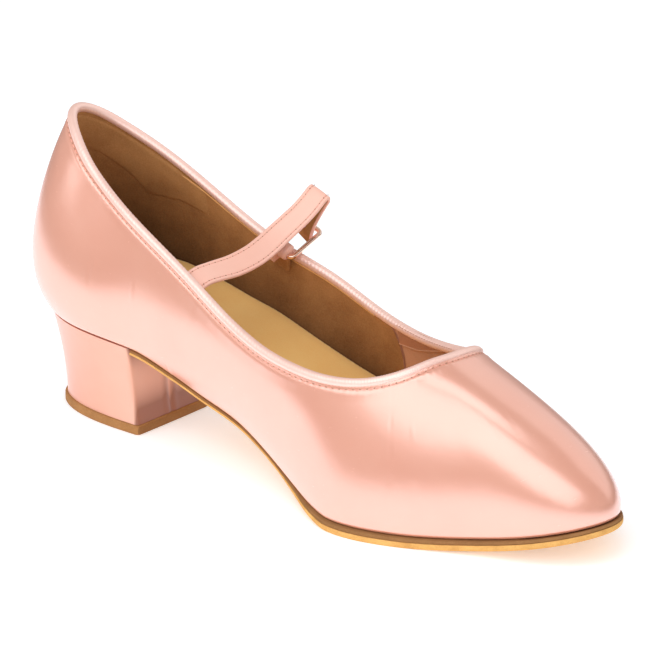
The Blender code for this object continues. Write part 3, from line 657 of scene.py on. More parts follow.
def stitch_row(line, out_way, pitch, thread, needle):
    """Threads along a line of points on a surface, and dark capsules beside them as painted shade in the
    needle holes.
    """
    run = lengths(line)
    count = int(run[-1] / pitch)
    threads = []
    holes = []
    for i in range(count):
        here = (i + 0.5) * run[-1] / count
        middle = np.array([np.interp(here, run, line[:, k]) for k in range(3)])
        ahead = np.array([np.interp(here + 0.4, run, line[:, k]) for k in range(3)])
        out = unit(np.array([np.interp(here, run, out_way[:, k]) for k in range(3)]))
        along = unit(ahead - middle)
        side = unit(np.cross(out, along))
        threads.append(capsule(middle, along, side, out, 0.34 * pitch, thread, thread))
        hole = middle + along * 0.5 * run[-1] / count
        holes.append(capsule(hole, along, side, out, needle, 0.8 * needle, 0.35 * needle))
    return threads, holes


def make_topline_stitches(thread, shade):
    """The row of stitches that holds the binding, just under it on the outside."""
    at = np.linspace(0, 1, 1200)
    line, normal = wall_sheet(at, np.array([STITCH_BELOW]))
    threads, holes = stitch_row(line[:, 0] - normal[:, 0] * 0.16, normal[:, 0], 2.5, 0.2, 0.34)
    points, faces = join_parts(threads)
    add_piece("topline_thread", points, faces, thread)
    points, faces = join_parts(holes)
    add_piece("topline_needle_holes_painted_shade", points, faces, shade)


def across_throat(outer):
    """The place on the inner side that matches one on the outer side, in front of the lining."""
    return THROAT_INNER + (LINING_FRONT[0].at - outer) * THROAT_SPREAD


def lining_front(below):
    """The quarter lining's front edge on the outer side, at distances down the wall."""
    return np.interp(below, [row.below for row in LINING_FRONT], [row.at for row in LINING_FRONT])


def lining_edge(share):
    """Front edges of the brown quarter lining, inner side then outer side, down the wall."""
    outer = lining_front(share * LINING_FRONT[-1].below)
    return across_throat(outer), outer


def lining_grid(first, last, columns, depth):
    """Part of the inside wall between two edges, each a function of the share down the wall."""
    grid = []
    for share in np.linspace(0, 1, 34) ** 1.1:
        start = first(share)
        at = start + (last(share) - start) * np.linspace(0, 1, columns)
        length = wall_length(at % 1.0)
        below = LINING_TOP + (length - SATIN_TURN - LINING_TOP) * share
        here, _ = wall_sheet(at % 1.0, below[:, None], depth)
        grid.append(here[:, 0])
    return np.array(grid)


def make_linings(suede, cloth):
    """The brown quarter lining round the back and the pink cloth lining of the vamp."""
    def brown(depth):
        return lining_grid(lambda s: lining_edge(s)[1] - 1.0, lambda s: lining_edge(s)[0], 240, depth)

    def pink(depth):
        return lining_grid(
            lambda s: lining_edge(s)[0] - LINING_LAP, lambda s: lining_edge(s)[1] + LINING_LAP, 200, depth)

    points, faces = sheet(brown(WALL), brown(WALL - 0.6))
    quarter = add_piece("quarter_lining", points, faces, suede)
    points, faces = sheet(pink(WALL - 0.3), pink(WALL - 0.7))
    vamp = add_piece("vamp_lining", points, faces, cloth)


def wall_cord(name, at, below, depth, half_out, half_up, material):
    """A flattened cord laid along the wall, at so many places round it and down it."""
    at = np.asarray(at, float)
    line, normal = wall_sheet(at % 1.0, np.asarray(below, float)[:, None], depth)
    line, normal = line[:, 0], normal[:, 0]
    along = unit(np.gradient(line, axis=0))
    side = unit(np.cross(normal, along))
    turns = np.arange(8) * np.pi / 4
    rings = [
        [p + n * half_out * np.cos(t) + s * half_up * np.sin(t) for t in turns]
        for p, n, s in zip(line, normal, side)
    ]
    points, faces = loft(rings, closed=False)
    return add_piece(name, points, faces, material)


def make_facing(facing, cloth):
    """The facing behind each side of the throat, with the light cut edge under it."""
    rows = np.linspace(0, 1, 60)
    outer = FACING[0].at + (FACING[-1].at - FACING[0].at) * rows
    low = np.interp(-outer, [-r.at for r in FACING], [r.below for r in FACING])
    for side, at in (("outer", outer), ("inner", across_throat(outer))):
        share = np.linspace(0, 1, 9)
        below = 0.3 + (low[:, None] - 0.3) * share
        front, _ = wall_sheet(at, below, WALL + 0.25)
        back, _ = wall_sheet(at, below, WALL - 0.2)
        points, faces = sheet(front, back)
        # Its darker finish is partly painted shade under the binding
        piece = add_piece("throat_facing_" + side, points, faces, facing)
        edge = wall_cord("throat_facing_edge_" + side, at, low, WALL + 0.2, 0.18, 0.32, cloth)


def make_lining_edges(gold, shade):
    """The golden cut edge of the quarter lining under the binding, and its front seams."""
    at = np.linspace(CUT_EDGE[0].at, 1.2490, 420)
    outer = np.where(at > 1.0, 2.0 - at, at)
    below = np.interp(outer, [r.at for r in CUT_EDGE], [r.below for r in CUT_EDGE])
    edge = wall_cord("lining_cut_edge", at, below, WALL + 0.12, 0.22, 0.34, gold)
    down = np.linspace(LINING_TOP, 34.0, 60)
    outer = lining_front(down)
    for side, at in (("outer", outer), ("inner", across_throat(outer))):
        seam = wall_cord("lining_front_seam_" + side, at, down, WALL + 0.02, 0.12, 0.22, shade)


def make_heel_grip(suede):
    """The soft suede grip inside the back of the heel."""
    columns = np.linspace(-0.106, 0.106, 120)
    edge = np.interp(np.abs(columns), [r.at for r in GRIP], [r.below for r in GRIP])
    share = np.linspace(0, 1, 26)
    below = 4.6 + (edge[:, None] - 4.6) * share
    rim = 1 - np.maximum(np.abs(2 * share - 1)[None], np.abs(columns / columns[-1])[:, None]) ** 16
    front, normal = wall_sheet(columns % 1.0, below, WALL + 0.05)
    front = front - normal * 0.35 * rim[..., None]
    back, _ = wall_sheet(columns % 1.0, below, WALL - 0.3)
    points, faces = sheet(front, back)
    piece = add_piece("heel_grip", points, faces, suede)


def outline_sides(offset):
    """The sole's inner and outer edges as y against x, moved out by offset, a function of x."""
    at = np.linspace(0, 1, 1441)[:-1]
    feet = periodic_spline(row_knots(), [row.foot for row in LAST], at)
    feet = feet - outline_inward(at) * offset(feet[:, 0])[:, None]
    toe = int(np.argmax(feet[:, 0]))
    heel = int(np.argmin(feet[:, 0]))
    turned = np.roll(feet, -heel, axis=0)
    split = (toe - heel) % len(feet)
    return turned[: split + 1], np.vstack([turned[split:], turned[:1]])[::-1]


def sole_proud(x):
    """How far the outsole stands out past the upper: little in the waist, more round the front."""
    return WAIST_PROUD + (SOLE_PROUD - WAIST_PROUD) * smooth_step(x, 120.0, 150.0)


def sole_sides(out):
    """Inner and outer edges of the outsole from its back to the toe, at the same places along it."""
    inner, outer = outline_sides(lambda x: sole_proud(x) + out)
    tip = inner[-1, 0] - 0.01
    xs = SOLE_START + (tip - SOLE_START) * np.sin(np.linspace(0, 1, SOLE_STATIONS) * np.pi / 2)
    near = np.column_stack([xs, np.interp(xs, inner[:, 0], inner[:, 1])])
    far = np.column_stack([xs, np.interp(xs, outer[:, 0], outer[:, 1])])
    return near, far


def rung_faces(rungs):
    """Faces between rungs, which are rows of point numbers; a point met twice counts once."""
    faces = []
    for one, two in zip(rungs[:-1], rungs[1:]):
        for m in range(len(one) - 1):
            faces.append(list(dict.fromkeys([one[m], one[m + 1], two[m + 1], two[m]])))
    return faces


def sole_layer(rows, across):
    """A layer of the outsole from the rows of its edge, with its two flat sides filled in."""
    rings = []
    for row in rows:
        near, far = sole_sides(row.out)
        line = np.vstack([near, far[::-1]])
        back = far[0] + (near[0] - far[0]) * (np.arange(1, across) / across)[:, None]
        ring = np.vstack([line, back])
        level = underside(ring[:, 0]) + row.share * sole_edge(ring[:, 0]) + row.lift
        rings.append(np.column_stack([ring, level]))
    points, faces = loft(rings, closed=False)
    faces = faces[:-2]
    points = list(points)
    for base in (0, (len(rows) - 1) * len(rings[0])):
        last = base + 2 * SOLE_STATIONS - 1
        rungs = [[base] + [last + across - 1 - m for m in range(across - 1)] + [last]]
        for k in range(1, SOLE_STATIONS):
            inside = []
            for m in range(1, across):
                inside.append(len(points))
                points.append(points[base + k] + (points[last - k] - points[base + k]) * m / across)
            rungs.append([base + k] + inside + [last - k])
        faces += rung_faces(rungs)
    return np.array(points), faces


def make_sole(suede, edge):
    """The suede outsole and, on it, the darker edge-dyed layer that meets the upper."""
    points, faces = sole_layer(SUEDE_EDGE, 14)
    sole = add_piece("outsole_suede", points, faces, suede, crease=60)
    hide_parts("outsole")
    points, faces = sole_layer(DYED_EDGE, 4)
    layer = add_piece("outsole_dyed_edge", points, faces, edge, crease=60)


def make_insole(cover):
    """The cushioned insole, its sides following the inside of the wall up from the margin."""
    count = 360
    at = np.arange(count) / count
    foot = wall_lines(at)[0]
    thins = smooth_step(foot[:, 0], 120.0, 190.0)
    arch = INSOLE_ARCH * np.exp(-((foot[:, 0] - 77.0) / 16.0) ** 2)
    low = foot[:, 2] + INSOLE_BED
    high = foot[:, 2] + INSOLE_TOP + (INSOLE_TOE - INSOLE_TOP) * thins + arch
    inward = np.column_stack([outline_inward(at), np.zeros(count)])
    down = wall_length(at)[:, None] * np.linspace(1, 0, 80) - SATIN_TURN * np.linspace(1, 0, 80)
    inside, _ = wall_sheet(at, down, WALL + 0.25)
    base = np.column_stack([foot[:, :2], low])
    rings = [base + inward * (WALL + SATIN_TURN)]
    for share, pulled in ((0.3, 0.0), (0.6, 0.0), (0.85, 0.0), (0.94, 0.06), (0.985, 0.25), (1.0, 0.7)):
        level = low + (high - low) * share
        ring = np.array([
            [np.interp(z, line[:, 2], line[:, axis]) for axis in (0, 1)] + [z]
            for z, line in zip(level, inside)
        ])
        rings.append(ring + inward * pulled)
    points, faces = loft(rings, closed=False)
    faces = faces[:-2]
    points = list(points)
    for base, dish in ((0, 0.0), (count * (len(rings) - 1), 0.7)):
        rungs = []
        for i in range(count // 2 + 1):
            near, far = base + i, base + (count - i) % count
            inner = []
            if near != far:
                for u in np.linspace(-1, 1, INSOLE_ACROSS + 1)[1:-1]:
                    point = points[near] + (points[far] - points[near]) * (u + 1) / 2
                    heel = 1 - smooth_step(point[0], 60.0, 110.0)
                    sag = dish * (0.4 + heel) * (1 - u * u) ** 0.8
                    inner.append(len(points))
                    points.append(point - np.array([0.0, 0.0, sag]))
            else:
                inner = [near] * (INSOLE_ACROSS - 1)
            rungs.append([near] + inner + [far])
        faces += rung_faces(rungs)
    piece = add_piece("insole_cover", np.array(points), faces, cover, crease=60)
    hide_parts("insole")


def heel_outline(rise, grow):
    """One level of the heel: a round back between two breast corners, then the breast."""
    inner, outer = outline_sides(lambda x: np.full(len(x), -HEEL_INSET))
    blend = rise ** HEEL_FLARE
    breast = HEEL_BREAST - BREAST_SLANT * rise - BREAST_HOLLOW * 4 * rise * (1 - rise)
    turn = np.linspace(-np.pi / 2, np.pi / 2, HEEL_BACK_STEPS + 1)
    back = np.abs(np.cos(turn)) ** HEEL_SQUARE
    low_x = breast - (breast - HEEL_BACK) * back
    low_y = HEEL_MIDDLE + HEEL_TREAD_HALF * np.sin(turn)
    top_x = breast - (breast - inner[0, 0] - 0.1) * back
    top_y = np.where(
        turn < 0,
        np.interp(top_x, inner[:, 0], inner[:, 1]),
        np.interp(top_x, outer[:, 0], outer[:, 1]),
    )
    ring = np.column_stack([low_x + (top_x - low_x) * blend, low_y + (top_y - low_y) * blend])
    share = np.linspace(0, 1, BREAST_STEPS + 1)[1:-1]
    across = ring[-1] + (ring[0] - ring[-1]) * share[:, None]
    ring = np.vstack([ring, across])
    middle = np.array([0.5 * (HEEL_BACK + HEEL_BREAST), HEEL_MIDDLE])
    return ring + grow * unit(ring - middle)


def ease_corner(ring, index, reach):
    """Rounds one corner of a closed outline over a few points each side of it."""
    count = len(ring)
    eased = ring.copy()
    start = ring[(index - reach) % count]
    end = ring[(index + reach) % count]
    for k in range(-reach, reach + 1):
        t = (k + reach) / (2 * reach)
        eased[(index + k) % count] = start * (1 - t) ** 2 + ring[index] * 2 * t * (1 - t) + end * t * t
    return eased


def even_corner(ring, index, size):
    """Spaces the points beside a corner evenly within a small distance of it."""
    count = len(ring)
    moved = ring.copy()
    for way in (-1, 1):
        far = ring[(index + way * 5) % count]
        run = unit(far - ring[index])
        for k in range(1, 4):
            moved[(index + way * k) % count] = ring[index] + run * size * k / 3
    return moved


def round_breast_corners(ring, size):
    """The heel's outline with its two breast corners rounded over a small distance."""
    for corner in (HEEL_BACK_STEPS, 0):
        ring = ease_corner(even_corner(ring, corner, size), corner, 3)
    return ring


def make_heel(satin):
    """The heel's satin cover, drawn round the block and closed with a seam down the breast."""
    rings = []
    foot = TOP_PIECE + 0.1
    for rise in np.linspace(0, 1, 30):
        ring = round_breast_corners(heel_outline(rise, 0.0), 1.9)
        seam = ring[HEEL_BACK_STEPS + 1:]
        middle = np.arange(len(seam)) - (len(seam) - 1) / 2
        groove = 0.30 * np.exp(-(middle / 0.8) ** 2) - 0.22 * np.exp(-((np.abs(middle) - 2.6) / 1.4) ** 2)
        seam[:, 0] -= groove
        top = seat(ring[:, 0]) - 0.12
        rings.append(np.column_stack([ring, foot + (top - foot) * rise]))
    rings = np.array(rings)
    along = np.zeros(rings.shape[:2])
    for i, ring in enumerate(rings):
        along[i] = lengths(ring)
    cloth = np.stack([along, rings[..., 2]], axis=-1)
    points, faces = loft(rings, closed=False)
    piece = add_piece("heel_satin_cover", points, faces, satin, cloth, crease=60)
    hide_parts("heel_block")


def make_top_piece(wear, dye_and_painted_shade):
    """The wearing piece under the heel, a firm slab with a slightly rounded edge."""
    rings = []
    for grow, z in ((0.45, 0.0), (0.75, 0.12), (0.9, 0.45), (0.88, 2.7), (0.72, 3.05), (0.4, TOP_PIECE)):
        ring = round_breast_corners(heel_outline(0.0, grow), 1.6)
        rings.append(np.column_stack([ring, np.full(len(ring), z)]))
    points, faces = loft(rings, closed=False)
    piece = add_piece("heel_top_piece_slab", points, faces, wear, crease=60)
    # The face towards the toe, under the breast, takes the dark dyed-edge finish as painted shade
    piece.data.materials.append(dye_and_painted_shade)
    for face in piece.data.polygons:
        face.material_index = int(face.normal.x > 0.8)
    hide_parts("heel_top_piece")


def path_spline(points, per_step):
    """A smooth open path through the points, with a few samples for each step between them."""
    points = np.asarray(points, float)
    gaps = np.linalg.norm(np.diff(points[:, :3], axis=0), axis=1) ** 0.5
    slopes = np.diff(points, axis=0) / gaps[:, None]
    tangents = np.empty_like(points)
    tangents[0] = slopes[0]
    tangents[-1] = slopes[-1]
    share = (gaps[1:] / (gaps[1:] + gaps[:-1]))[:, None]
    tangents[1:-1] = share * slopes[:-1] + (1 - share) * slopes[1:]
    rows = []
    for i, gap in enumerate(gaps):
        for t in np.arange(per_step) / per_step:
            rows.append(hermite(points[i], tangents[i], points[i + 1], tangents[i + 1], gap, t))
    rows.append(points[-1])
    return np.array(rows)


def strap_frames(per_step):
    """Middle, width direction, thickness direction and run at each place along the strap."""
    path = path_spline([(s.x, s.y, s.z, s.wide_x, s.wide_z) for s in STRAP], per_step)
    middle = path[:, :3]
    along = unit(np.gradient(middle, axis=0))
    wide = np.column_stack([path[:, 3], np.zeros(len(path)), path[:, 4]])
    wide = unit(wide - along * np.sum(wide * along, axis=1, keepdims=True))
    return middle, wide, np.cross(wide, along), along


def strap_section():
    """The satin strap's section: padded between two stitched grooves, its edges turned."""
    half = STRAP_WIDE / 2
    across = np.linspace(-half + STRAP_EDGE, half - STRAP_EDGE, 25)
    groove = 0.20 * bell(np.abs(across), STRAP_STITCH, 0.30)
    face = STRAP_FACE - groove + 0.07 * (1 - (across / half) ** 2)
    edge = np.linspace(np.pi / 2, -np.pi / 2, 7)[1:-1]
    right = np.column_stack([
        half - STRAP_EDGE + STRAP_EDGE * np.cos(edge), 0.1 + (STRAP_FACE - 0.1) * np.sin(edge)])
    low = np.linspace(half - STRAP_EDGE, -half + STRAP_EDGE, 9)
    under = np.column_stack([low, np.full(len(low), STRAP_UNDER)])
    left = right[::-1] * np.array([-1, 1])
    section = np.vstack([np.column_stack([across, face]), right, under, left])
    section[:, 1] = np.maximum(section[:, 1], STRAP_UNDER)
    return section


def sweep(middle, wide, thick_way, section):
    """Rings of one section along a path."""
    return np.array([
        m + section[:, :1] * w + section[:, 1:] * t for m, w, t in zip(middle, wide, thick_way)
    ])


def slant_end(rings, middle, wide, along):
    """The strap's free end cut at a slant, longer on its front edge, its last stretch drawn with it."""
    for back in range(1, 6):
        front = (rings[-back] - middle[-back]) @ wide[-1] / (STRAP_WIDE / 2)
        rings[-back] += np.outer(front * STRAP_SLANT / 2 * (1 - 0.2 * (back - 1)), along[-1])
    return rings


def make_strap(satin, lining, thread, shade):
    """The strap: padded satin over a brown lining, with a row of stitches along each edge."""
    middle, wide, thick_way, along = strap_frames(9)
    section = strap_section()
    rings = slant_end(sweep(middle, wide, thick_way, section), middle, wide, along)
    run = lengths(middle)
    girth = lengths(section)
    cloth = np.stack(np.broadcast_arrays(run[:, None], girth[None]), axis=-1)
    points, faces = loft(rings, closed=False)
    strap = add_piece("strap_satin", points, faces, satin, cloth, crease=60)
    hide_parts("strap")
    half = STRAP_WIDE / 2 - 0.75
    under = np.array([(-half, -0.40), (-half + 0.2, -0.72), (0, -0.76), (half - 0.2, -0.72), (half, -0.40)])
    rings = slant_end(sweep(middle, wide, thick_way, under), middle, wide, along)
    points, faces = loft(rings, closed=False)
    backing = add_piece("strap_lining", points, faces, lining, crease=60)
    for piece in (strap, backing):
        punch(piece)
    threads = []
    holes = []
    level = STRAP_FACE - 0.12
    for side in (-1, 1):
        row = middle[4:-8] + wide[4:-8] * STRAP_STITCH * side + thick_way[4:-8] * level
        some, dots = stitch_row(row, thick_way[4:-8], 2.3, 0.17, 0.3)
        threads += some
        holes += dots
    points, faces = join_parts(threads)
    add_piece("strap_thread", points, faces, thread)
    points, faces = join_parts(holes)
    add_piece("strap_needle_holes_painted_shade", points, faces, shade)


def buckle_place(across, out, up):
    """A point of the buckle in the shoe's frame."""
    way_across = unit(np.array(BUCKLE_ACROSS))
    way_out = np.array(BUCKLE_OUT)
    way_out = unit(way_out - way_across * (way_out @ way_across))
    way_up = np.cross(way_across, way_out)
    return np.array(BUCKLE_BASE) + way_across * across + way_out * out + way_up * up


def prong_line(share):
    """A place along the prong, from the base bar at 0 to the free bar at 1."""
    reach = BUCKLE_LONG - BUCKLE_WIRE
    return buckle_place(0.0, share * reach, (BUCKLE_WIRE + PRONG_WIRE) / 2 + GAP)


def punch(piece):
    """Cuts the prong's hole in a piece of the strap."""
    start, end = (prong_line(share) for share in STRAP_HOLE_SPAN)
    along = unit(end - start)
    side = unit(np.cross(along, (1.0, 0.0, 0.0)))
    other = np.cross(along, side)
    spokes = [side * np.cos(t) + other * np.sin(t) for t in np.arange(24) * np.pi / 12]
    rings = [[p + STRAP_HOLE / 2 * spoke for spoke in spokes] for p in (start, end)]
    carve(piece, *loft(rings, closed=False))


def carve(piece, points, faces):
    """Cuts a solid out of a piece and keeps the result as its mesh."""
    mesh = bpy.data.meshes.new("cutter")
    mesh.from_pydata(placed(points).tolist(), [], faces)
    cutter = bpy.data.objects.new("cutter", mesh)
    bpy.context.scene.collection.objects.link(cutter)
    cut = piece.modifiers.new("cut", "BOOLEAN")
    cut.operation = "DIFFERENCE"
    cut.object = cutter
    cut.solver = "EXACT"
    bpy.context.view_layer.update()
    done = bpy.data.meshes.new_from_object(piece.evaluated_get(bpy.context.evaluated_depsgraph_get()))
    piece.modifiers.clear()
    piece.data = done
    bpy.data.objects.remove(cutter, do_unlink=True)


def wire_ring(radius, power, turns):
    """Section of a wire: round at power 2, squarer above it."""
    angle = np.linspace(0, 2 * np.pi, turns, endpoint=False)
    c = np.cos(angle)
    s = np.sin(angle)
    return radius * np.column_stack([
        np.sign(c) * np.abs(c) ** (2 / power), np.sign(s) * np.abs(s) ** (2 / power)])


def make_buckle_frame(metal):
    """The buckle's rectangular frame, a drawn wire with eased edges."""
    half = (BUCKLE_WIDE - BUCKLE_WIRE) / 2
    reach = BUCKLE_LONG - BUCKLE_WIRE
    corners = (
        (half - BUCKLE_CORNER, BUCKLE_CORNER, -90.0),
        (half - BUCKLE_CORNER, reach - BUCKLE_CORNER, 0.0),
        (BUCKLE_CORNER - half, reach - BUCKLE_CORNER, 90.0),
        (BUCKLE_CORNER - half, BUCKLE_CORNER, 180.0),
    )
    section = wire_ring(BUCKLE_WIRE / 2, 3.2, 20)
    rings = []
    for across, out, start in corners:
        for turn in np.radians(start + np.linspace(0.0, 90.0, 11)):
            rings.append([
                buckle_place(
                    across + (BUCKLE_CORNER + a) * np.cos(turn),
                    out + (BUCKLE_CORNER + a) * np.sin(turn),
                    b,
                )
                for a, b in section
            ])
    points, faces = loft(rings, closed=True)
    piece = add_piece("buckle_frame_wire", points, faces, metal, crease=70)
    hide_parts("buckle_frame")


def make_prong(metal):
    """The prong: an eye bent round the base bar, then a pin that rests on the free bar."""
    eye = (BUCKLE_WIRE + PRONG_WIRE) / 2 + GAP
    line = [(eye * np.cos(t), eye * np.sin(t)) for t in np.radians(np.linspace(-80.0, -265.0, 26))]
    reach = BUCKLE_LONG - BUCKLE_WIRE
    line += [(share * reach, eye) for share in (0.15, 0.35, 0.55, 0.75, 0.9, 0.97)]
    line += [(reach + 0.3, eye - 0.05), (reach + 0.7, eye - 0.16), (reach + 0.9, eye - 0.25)]
    line = np.array(line)
    way = unit(np.gradient(line, axis=0))
    rings = []
    for i, (out, up) in enumerate(line):
        thin = (1.0, 0.97, 0.86, 0.62)[max(0, i - len(line) + 4)]
        section = wire_ring(thin * PRONG_WIRE / 2, 2.4, 16)
        rings.append([buckle_place(a, out - way[i, 1] * b, up + way[i, 0] * b) for a, b in section])
    points, faces = loft(rings, closed=False)
    piece = add_piece("buckle_prong_pin", points, faces, metal, crease=60)
    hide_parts("buckle_prong")


def make_tab(satin, lining):
    """The satin tab rolled round the base bar, full and soft, with a slit for the prong."""
    tail = path_spline([(a, b, 0.0) for a, b in TAB_TAIL], 5)[:, :2]
    way = unit(np.gradient(tail, axis=0))
    side = np.column_stack([-way[:, 1], way[:, 0]]) * TAB_THICK / 2
    middle = np.array(TAB_ROLL_MIDDLE)
    outer_side = tail + side
    inner_side = tail - side
    start = np.arctan2(*(outer_side[0] - middle)[::-1])
    end = np.arctan2(*(inner_side[0] - middle)[::-1]) + 2 * np.pi
    arc = np.linspace(start, end, 41)
    roll = middle + TAB_ROLL * np.column_stack([np.cos(arc), np.sin(arc)])
    outline = np.vstack([outer_side[:0:-1], roll, inner_side[1:]])
    bore = BUCKLE_WIRE / 2 / np.cos(np.pi / 8) + 0.15
    turn = np.radians(np.concatenate([
        np.linspace(-88.0, -70.0, len(tail) - 1),
        np.linspace(-55.0, 235.0, len(arc)),
        np.linspace(250.0, 266.0, len(tail) - 1),
    ]))
    hole = bore * np.column_stack([np.cos(turn), np.sin(turn)])
    core = np.vstack([tail[:0:-1], np.repeat([middle], len(arc), axis=0), tail[1:]])
    half = TAB_WIDE / 2
    rings = []
    for share in np.linspace(-1, 1, 25):
        ease = 0.62 * (1 - np.sqrt(max(1 - max(abs(share) - 0.84, 0) ** 2 / 0.0256, 0)))
        toward = unit(core - outline)
        loop = outline + toward * ease
        rings.append([buckle_place(share * half, out, up) for out, up in loop])
    for share in (0.97, 0, -0.97):
        rings.append([buckle_place(share * half, out, up) for out, up in hole])
    wide = half * np.concatenate([np.linspace(-1, 1, 25), (0.97, 0, -0.97)])
    cloth = np.stack(np.broadcast_arrays(wide[:, None], lengths(outline)[None]), axis=-1)
    points, faces = loft(rings, closed=True)
    tab = add_piece("buckle_tab_satin", points, faces, satin, cloth, crease=60)
    for (low, high), (base, top) in (TAB_SLOT_OVER, TAB_SLOT_UNDER):
        corners = ((low, base), (high, base), (high, top), (low, top))
        rings = [[buckle_place(a, out, up) for out, up in corners] for a in (-TAB_SLOT / 2, TAB_SLOT / 2)]
        carve(tab, *loft(rings, closed=False))
    tab.data.materials.append(lining)
    below = placed([buckle_place(0.0, 0.0, -TAB_ROLL - 0.6)])[0, 2]
    for face in tab.data.polygons:
        face.material_index = int(face.center.z < below)
    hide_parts("buckle_tab")


def new_group(name, inputs):
    """A shader group with its inputs' usual values; it gives colour, roughness and height."""
    group = bpy.data.node_groups.new(name, "ShaderNodeTree")
    for label, value in inputs.items():
        kind = "NodeSocketColor" if isinstance(value, tuple) else "NodeSocketFloat"
        socket = group.interface.new_socket(name=label, in_out="INPUT", socket_type=kind)
        socket.default_value = value
    group.interface.new_socket(name="Colour", in_out="OUTPUT", socket_type="NodeSocketColor")
    for label in ("Roughness", "Height"):
        group.interface.new_socket(name=label, in_out="OUTPUT", socket_type="NodeSocketFloat")
    return group, group.nodes.new("NodeGroupInput"), group.nodes.new("NodeGroupOutput")


def add_node(tree, kind, values=None, **settings):
    """A node with its settings and the values of its named inputs."""
    node = tree.nodes.new(kind)
    for key, value in settings.items():
        setattr(node, key, value)
    for key, value in (values or {}).items():
        node.inputs[key].default_value = value
    return node


def join(tree, source, target):
    """A link from one socket to another."""
    tree.links.new(source, target)


def maths(tree, operation, first, second):
    """A maths node; each side is a socket or a number."""
    node = add_node(tree, "ShaderNodeMath", operation=operation)
    for side, value in zip(node.inputs, (first, second)):
        if isinstance(value, (int, float)):
            side.default_value = value
        else:
            join(tree, value, side)
    return node.outputs[0]


def blend_colour(tree, share, first, second, way="MIX"):
    """A colour mix; each input is a socket or a value."""
    node = add_node(tree, "ShaderNodeMix", data_type="RGBA", blend_type=way)
    for side, value in ((node.inputs[0], share), (node.inputs[6], first), (node.inputs[7], second)):
        if isinstance(value, (int, float, tuple)):
            side.default_value = value
        else:
            join(tree, value, side)
    return node.outputs[2]


def noise(tree, where, scale, detail=3.0, rough=0.5):
    """Noise with so many waves for each unit of where."""
    node = add_node(tree, "ShaderNodeTexNoise", {"Scale": scale, "Detail": detail, "Roughness": rough})
    join(tree, where, node.inputs["Vector"])
    return node.outputs["Fac"]


def stretched(tree, where, scale):
    """A place scaled by its own amount along each axis."""
    node = add_node(tree, "ShaderNodeMapping", {"Scale": scale})
    join(tree, where, node.inputs["Vector"])
    return node.outputs["Vector"]


def spread(tree, value, low, high, new_low=0.0, new_high=1.0):
    """A value stretched from low and high to new ones, and kept between them."""
    node = add_node(tree, "ShaderNodeMapRange", {
        "From Min": low, "From Max": high, "To Min": new_low, "To Max": new_high})
    join(tree, value, node.inputs["Value"])
    return node.outputs["Result"]


def satin_threads_group():
    """Satin: long floats of thread with a soft change of tone over the cloth."""
    group, given, out = new_group("satin_threads", {
        "Colour": WHITE, "Deep Colour": WHITE, "Thread Tone": 0.1, "Smoothness": 0.3,
        "Back Painted Shade": WHITE, "Breast Painted Shade": WHITE})
    cloth = add_node(group, "ShaderNodeUVMap", uv_map="cloth").outputs["UV"]
    space = add_node(group, "ShaderNodeTexCoord").outputs["Object"]
    floats = noise(group, stretched(group, cloth, (3.2, 46.0, 1.0)), 1.0, 3.0, 0.6)
    fine = noise(group, stretched(group, cloth, (14.0, 120.0, 1.0)), 1.0, 2.0, 0.5)
    cloud = noise(group, space, 42.0, 3.0, 0.55)
    tone = spread(group, cloud, 0.3, 0.7, 0.0, 0.5)
    swing = maths(group, "SUBTRACT", floats, 0.5)
    tone = maths(group, "ADD", tone, maths(group, "MULTIPLY", swing, given.outputs["Thread Tone"]))
    colour = blend_colour(group, tone, given.outputs["Colour"], given.outputs["Deep Colour"])
    place = add_node(group, "ShaderNodeSeparateXYZ")
    join(group, space, place.inputs[0])
    # Painted shade: the heel's back and breast are darkened by their place along x
    for label, start, end in (("Back Painted Shade", 0.018, -0.020), ("Breast Painted Shade", 0.0200, 0.0209)):
        share = spread(group, place.outputs["X"], start, end)
        tint = blend_colour(group, share, WHITE, given.outputs[label])
        colour = blend_colour(group, 1.0, colour, tint, "MULTIPLY")
    join(group, colour, out.inputs["Colour"])
    rough = maths(group, "ADD", given.outputs["Smoothness"], maths(group, "MULTIPLY", swing, 0.06))
    join(group, rough, out.inputs["Roughness"])
    slow = noise(group, space, 150.0, 2.0, 0.5)
    height = maths(group, "ADD", maths(group, "MULTIPLY", floats, 0.04),
                   maths(group, "MULTIPLY", fine, 0.03))
    height = maths(group, "ADD", height, slow)
    join(group, height, out.inputs["Height"])
    return group


